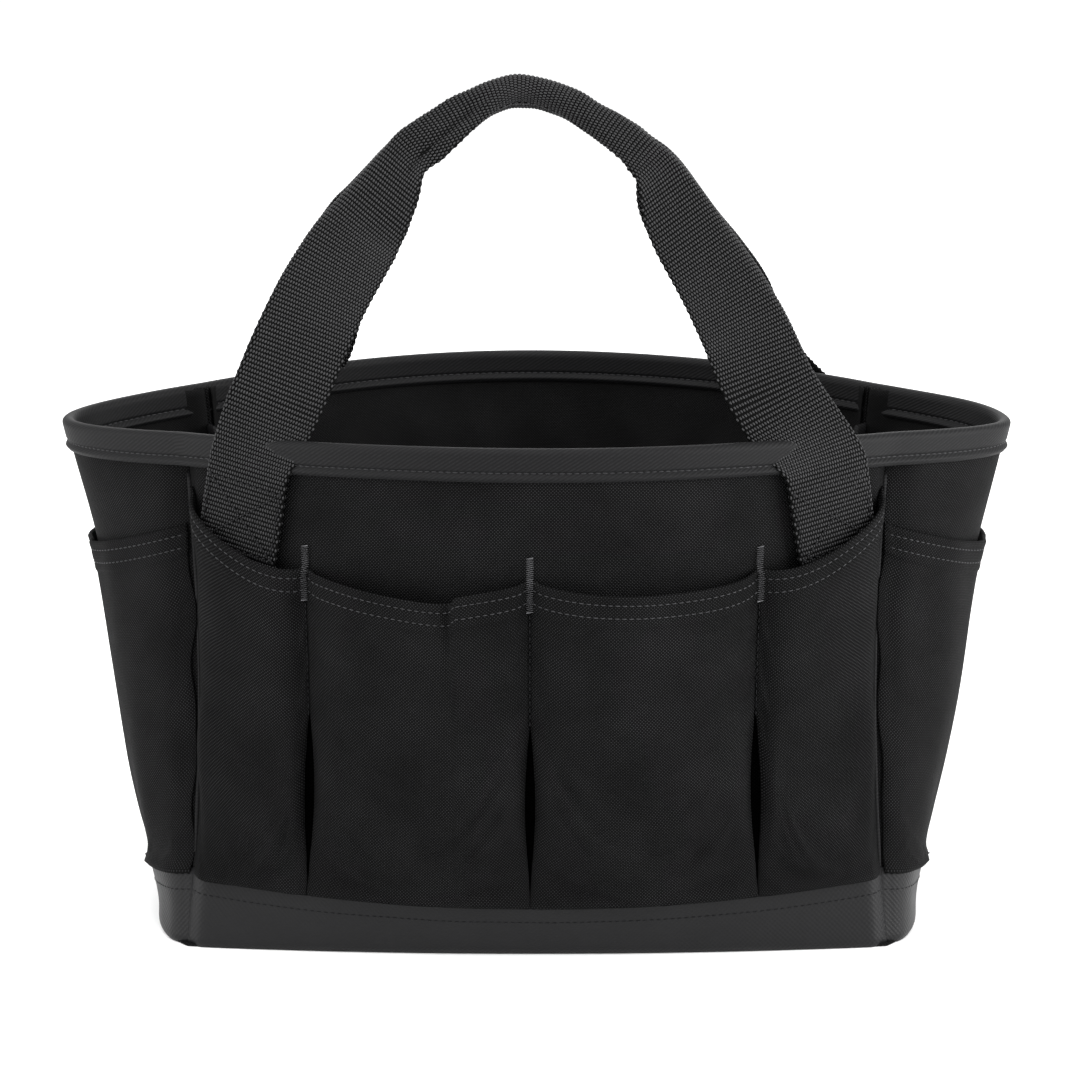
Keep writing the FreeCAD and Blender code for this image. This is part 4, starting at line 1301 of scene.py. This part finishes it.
# %% Hem, band and rim stitches
hem_lines = [along_sheet(grid, row, ends=1) for grid in sewn_pockets.values() for row in HEM_STITCHES]
band_lines = [along_sheet(grid, row * MM, ends=1) for grid in band_grids.values() for row in (2.4, 9.0)]
rim_stops = round_the_body(220)
rim_lines = []
for out in (1, -1):
    offset = WALL_MIDDLE + out * (tape_face(RIM_STITCH_DROP) + 0.1 * MM)
    rim_lines.append(np.array([on_wall(wall, s, rim_height(wall, s) + 1.5 * MM - RIM_STITCH_DROP, offset)
                               for wall, s in rim_stops]))
divider_lines = []
for wall, sign in (("front", 1), ("back", -1)):
    for x in DIVIDERS_X:
        z = np.linspace(HEM - 15 * MM, WEDGE_TOP - 2 * MM, 12)
        divider_lines.append(on_wall(wall, sign * x / SEAM_X + 0 * z, z, 2.2 * MM))
SEAMS = {"hem_stitches": (hem_lines, SEAM_THREAD), "band_stitches": (band_lines, DARK_THREAD),
         "rim_stitches": (rim_lines, SEAM_THREAD), "divider_stitches": (divider_lines, DARK_THREAD)}
for name, (lines, thread_finish) in SEAMS.items():
    print(name, len(stitched(name, lines, thread_finish).data.polygons))

# %% Box stitches
BOX_WIDTH, BOX_HEIGHT, BOX_DROP = 34 * MM, 28 * MM, 17 * MM
box_half, box_top, box_low = BOX_WIDTH / 2, -BOX_DROP, -BOX_DROP - BOX_HEIGHT
box_corners = ((-box_half, box_low), (box_half, box_low), (box_half, box_top), (-box_half, box_top))
for side, y_sign in (("front", 1), ("back", -1)):
    lines = []
    for x_sign in (1, -1):
        corners = [on_tail(a, b, TAIL_CLEARANCE + 2.2 * MM) * (x_sign, y_sign, 1) for a, b in box_corners]
        a, b, c, d = corners
        lines += [np.linspace(p, q, 20) for p, q in ((a, b), (b, c), (c, d), (d, a), (a, c), (b, d))]
    boxes = stitched(side + "_box_stitch_thread", lines, DARK_THREAD, thread=0.9 * MM)
    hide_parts(side + "_box_stitches")
    print(boxes.name, len(boxes.data.polygons))

# %% [markdown]
# A bar tack is a tight zigzag that locks the top of each divider. It is one thread, so it is made as one:
# a zigzag line swept with a round section.

# %% Bar tacks
def sweep_tree(name, sides):
    tree, inputs, output = geometry_tree(name, ("Radius",))
    line = add(tree, "GeometryNodeMeshToCurve", links={0: inputs.outputs["Geometry"]})
    ring = add(tree, "GeometryNodeCurvePrimitiveCircle", values={"Resolution": sides},
               links={"Radius": inputs.outputs["Radius"]})
    swept = add(tree, "GeometryNodeCurveToMesh", values={"Fill Caps": True},
                links={"Curve": line.outputs[0], "Profile Curve": ring.outputs[0]})
    return close_tree(tree, inputs, output, swept.outputs[0])


TACK_HALF_WIDTH, TACK_LENGTH, TACK_BELOW_HEM, TACK_STEP = 1.35 * MM, 22.8 * MM, 13 * MM, 0.4 * MM
SWEPT = sweep_tree("swept_thread", 6)
for wall, sign in (("front", 1), ("back", -1)):
    tack_lines = []
    for x in DIVIDERS_X:
        z = np.arange(HEM - TACK_BELOW_HEM, HEM - TACK_BELOW_HEM + TACK_LENGTH, TACK_STEP)
        side_to_side = TACK_HALF_WIDTH * (2 * (np.arange(len(z)) % 2) - 1)
        lift = 1.0 * MM + 1.9 * MM * smooth(HEM + 2 * MM, HEM - 2 * MM, z)
        tack_lines.append(on_wall(wall, sign * (x + side_to_side) / SEAM_X, z, lift))
    tacks = grow(SWEPT, wall + "_tack_threads", polylines(wall + "_tacks", tack_lines), Radius=0.27 * MM,
                 Material=TACK_THREAD)
    sewn(tacks, "thread", "root", wall + "_bar_tacks")
print("tacks", len(tacks.data.polygons))

# %% [markdown]
# ## Stock that hardly shows
# The stiffening board keeps its CAD shape. The foam core follows the grip, so it is swept again along the
# middle of the folded webbing, as long as its CAD node.

# %% Board and cores
for slot in bpy.data.objects["base_board"].material_slots:
    slot.material = BOARD
CORE_RADIUS = 3.3 * MM
CORE_MIDDLE = -2 * MM
CORE_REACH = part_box("front_grip_core")[1][0]
ROD = sweep_tree("swept_rod", 24)
for side, middle in strap_insides.items():
    in_grip = (np.abs(middle[:, 0] - CORE_MIDDLE) < CORE_REACH) & (middle[:, 2] > GRIP_TOP[2] - 30 * MM)
    core = grow(ROD, side + "_foam_core", polylines(side + "_core", [middle[in_grip]]), Radius=CORE_RADIUS,
                Material=FOAM)
    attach(core, side + "_handle")
    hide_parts(side + "_grip_core")
    print(core.name, len(core.data.polygons))

# %% Sizes
looks_low, looks_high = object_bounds()
growth = [round((b - a) / MM, 1) for a, b in zip((*cad_low, *cad_high), (*looks_low, *looks_high))]
print("grown by", growth, "mm")
triangles = sum(len(p.vertices) - 2 for o in scene.objects if o.type == "MESH" for p in o.data.polygons)
print("triangles", triangles)
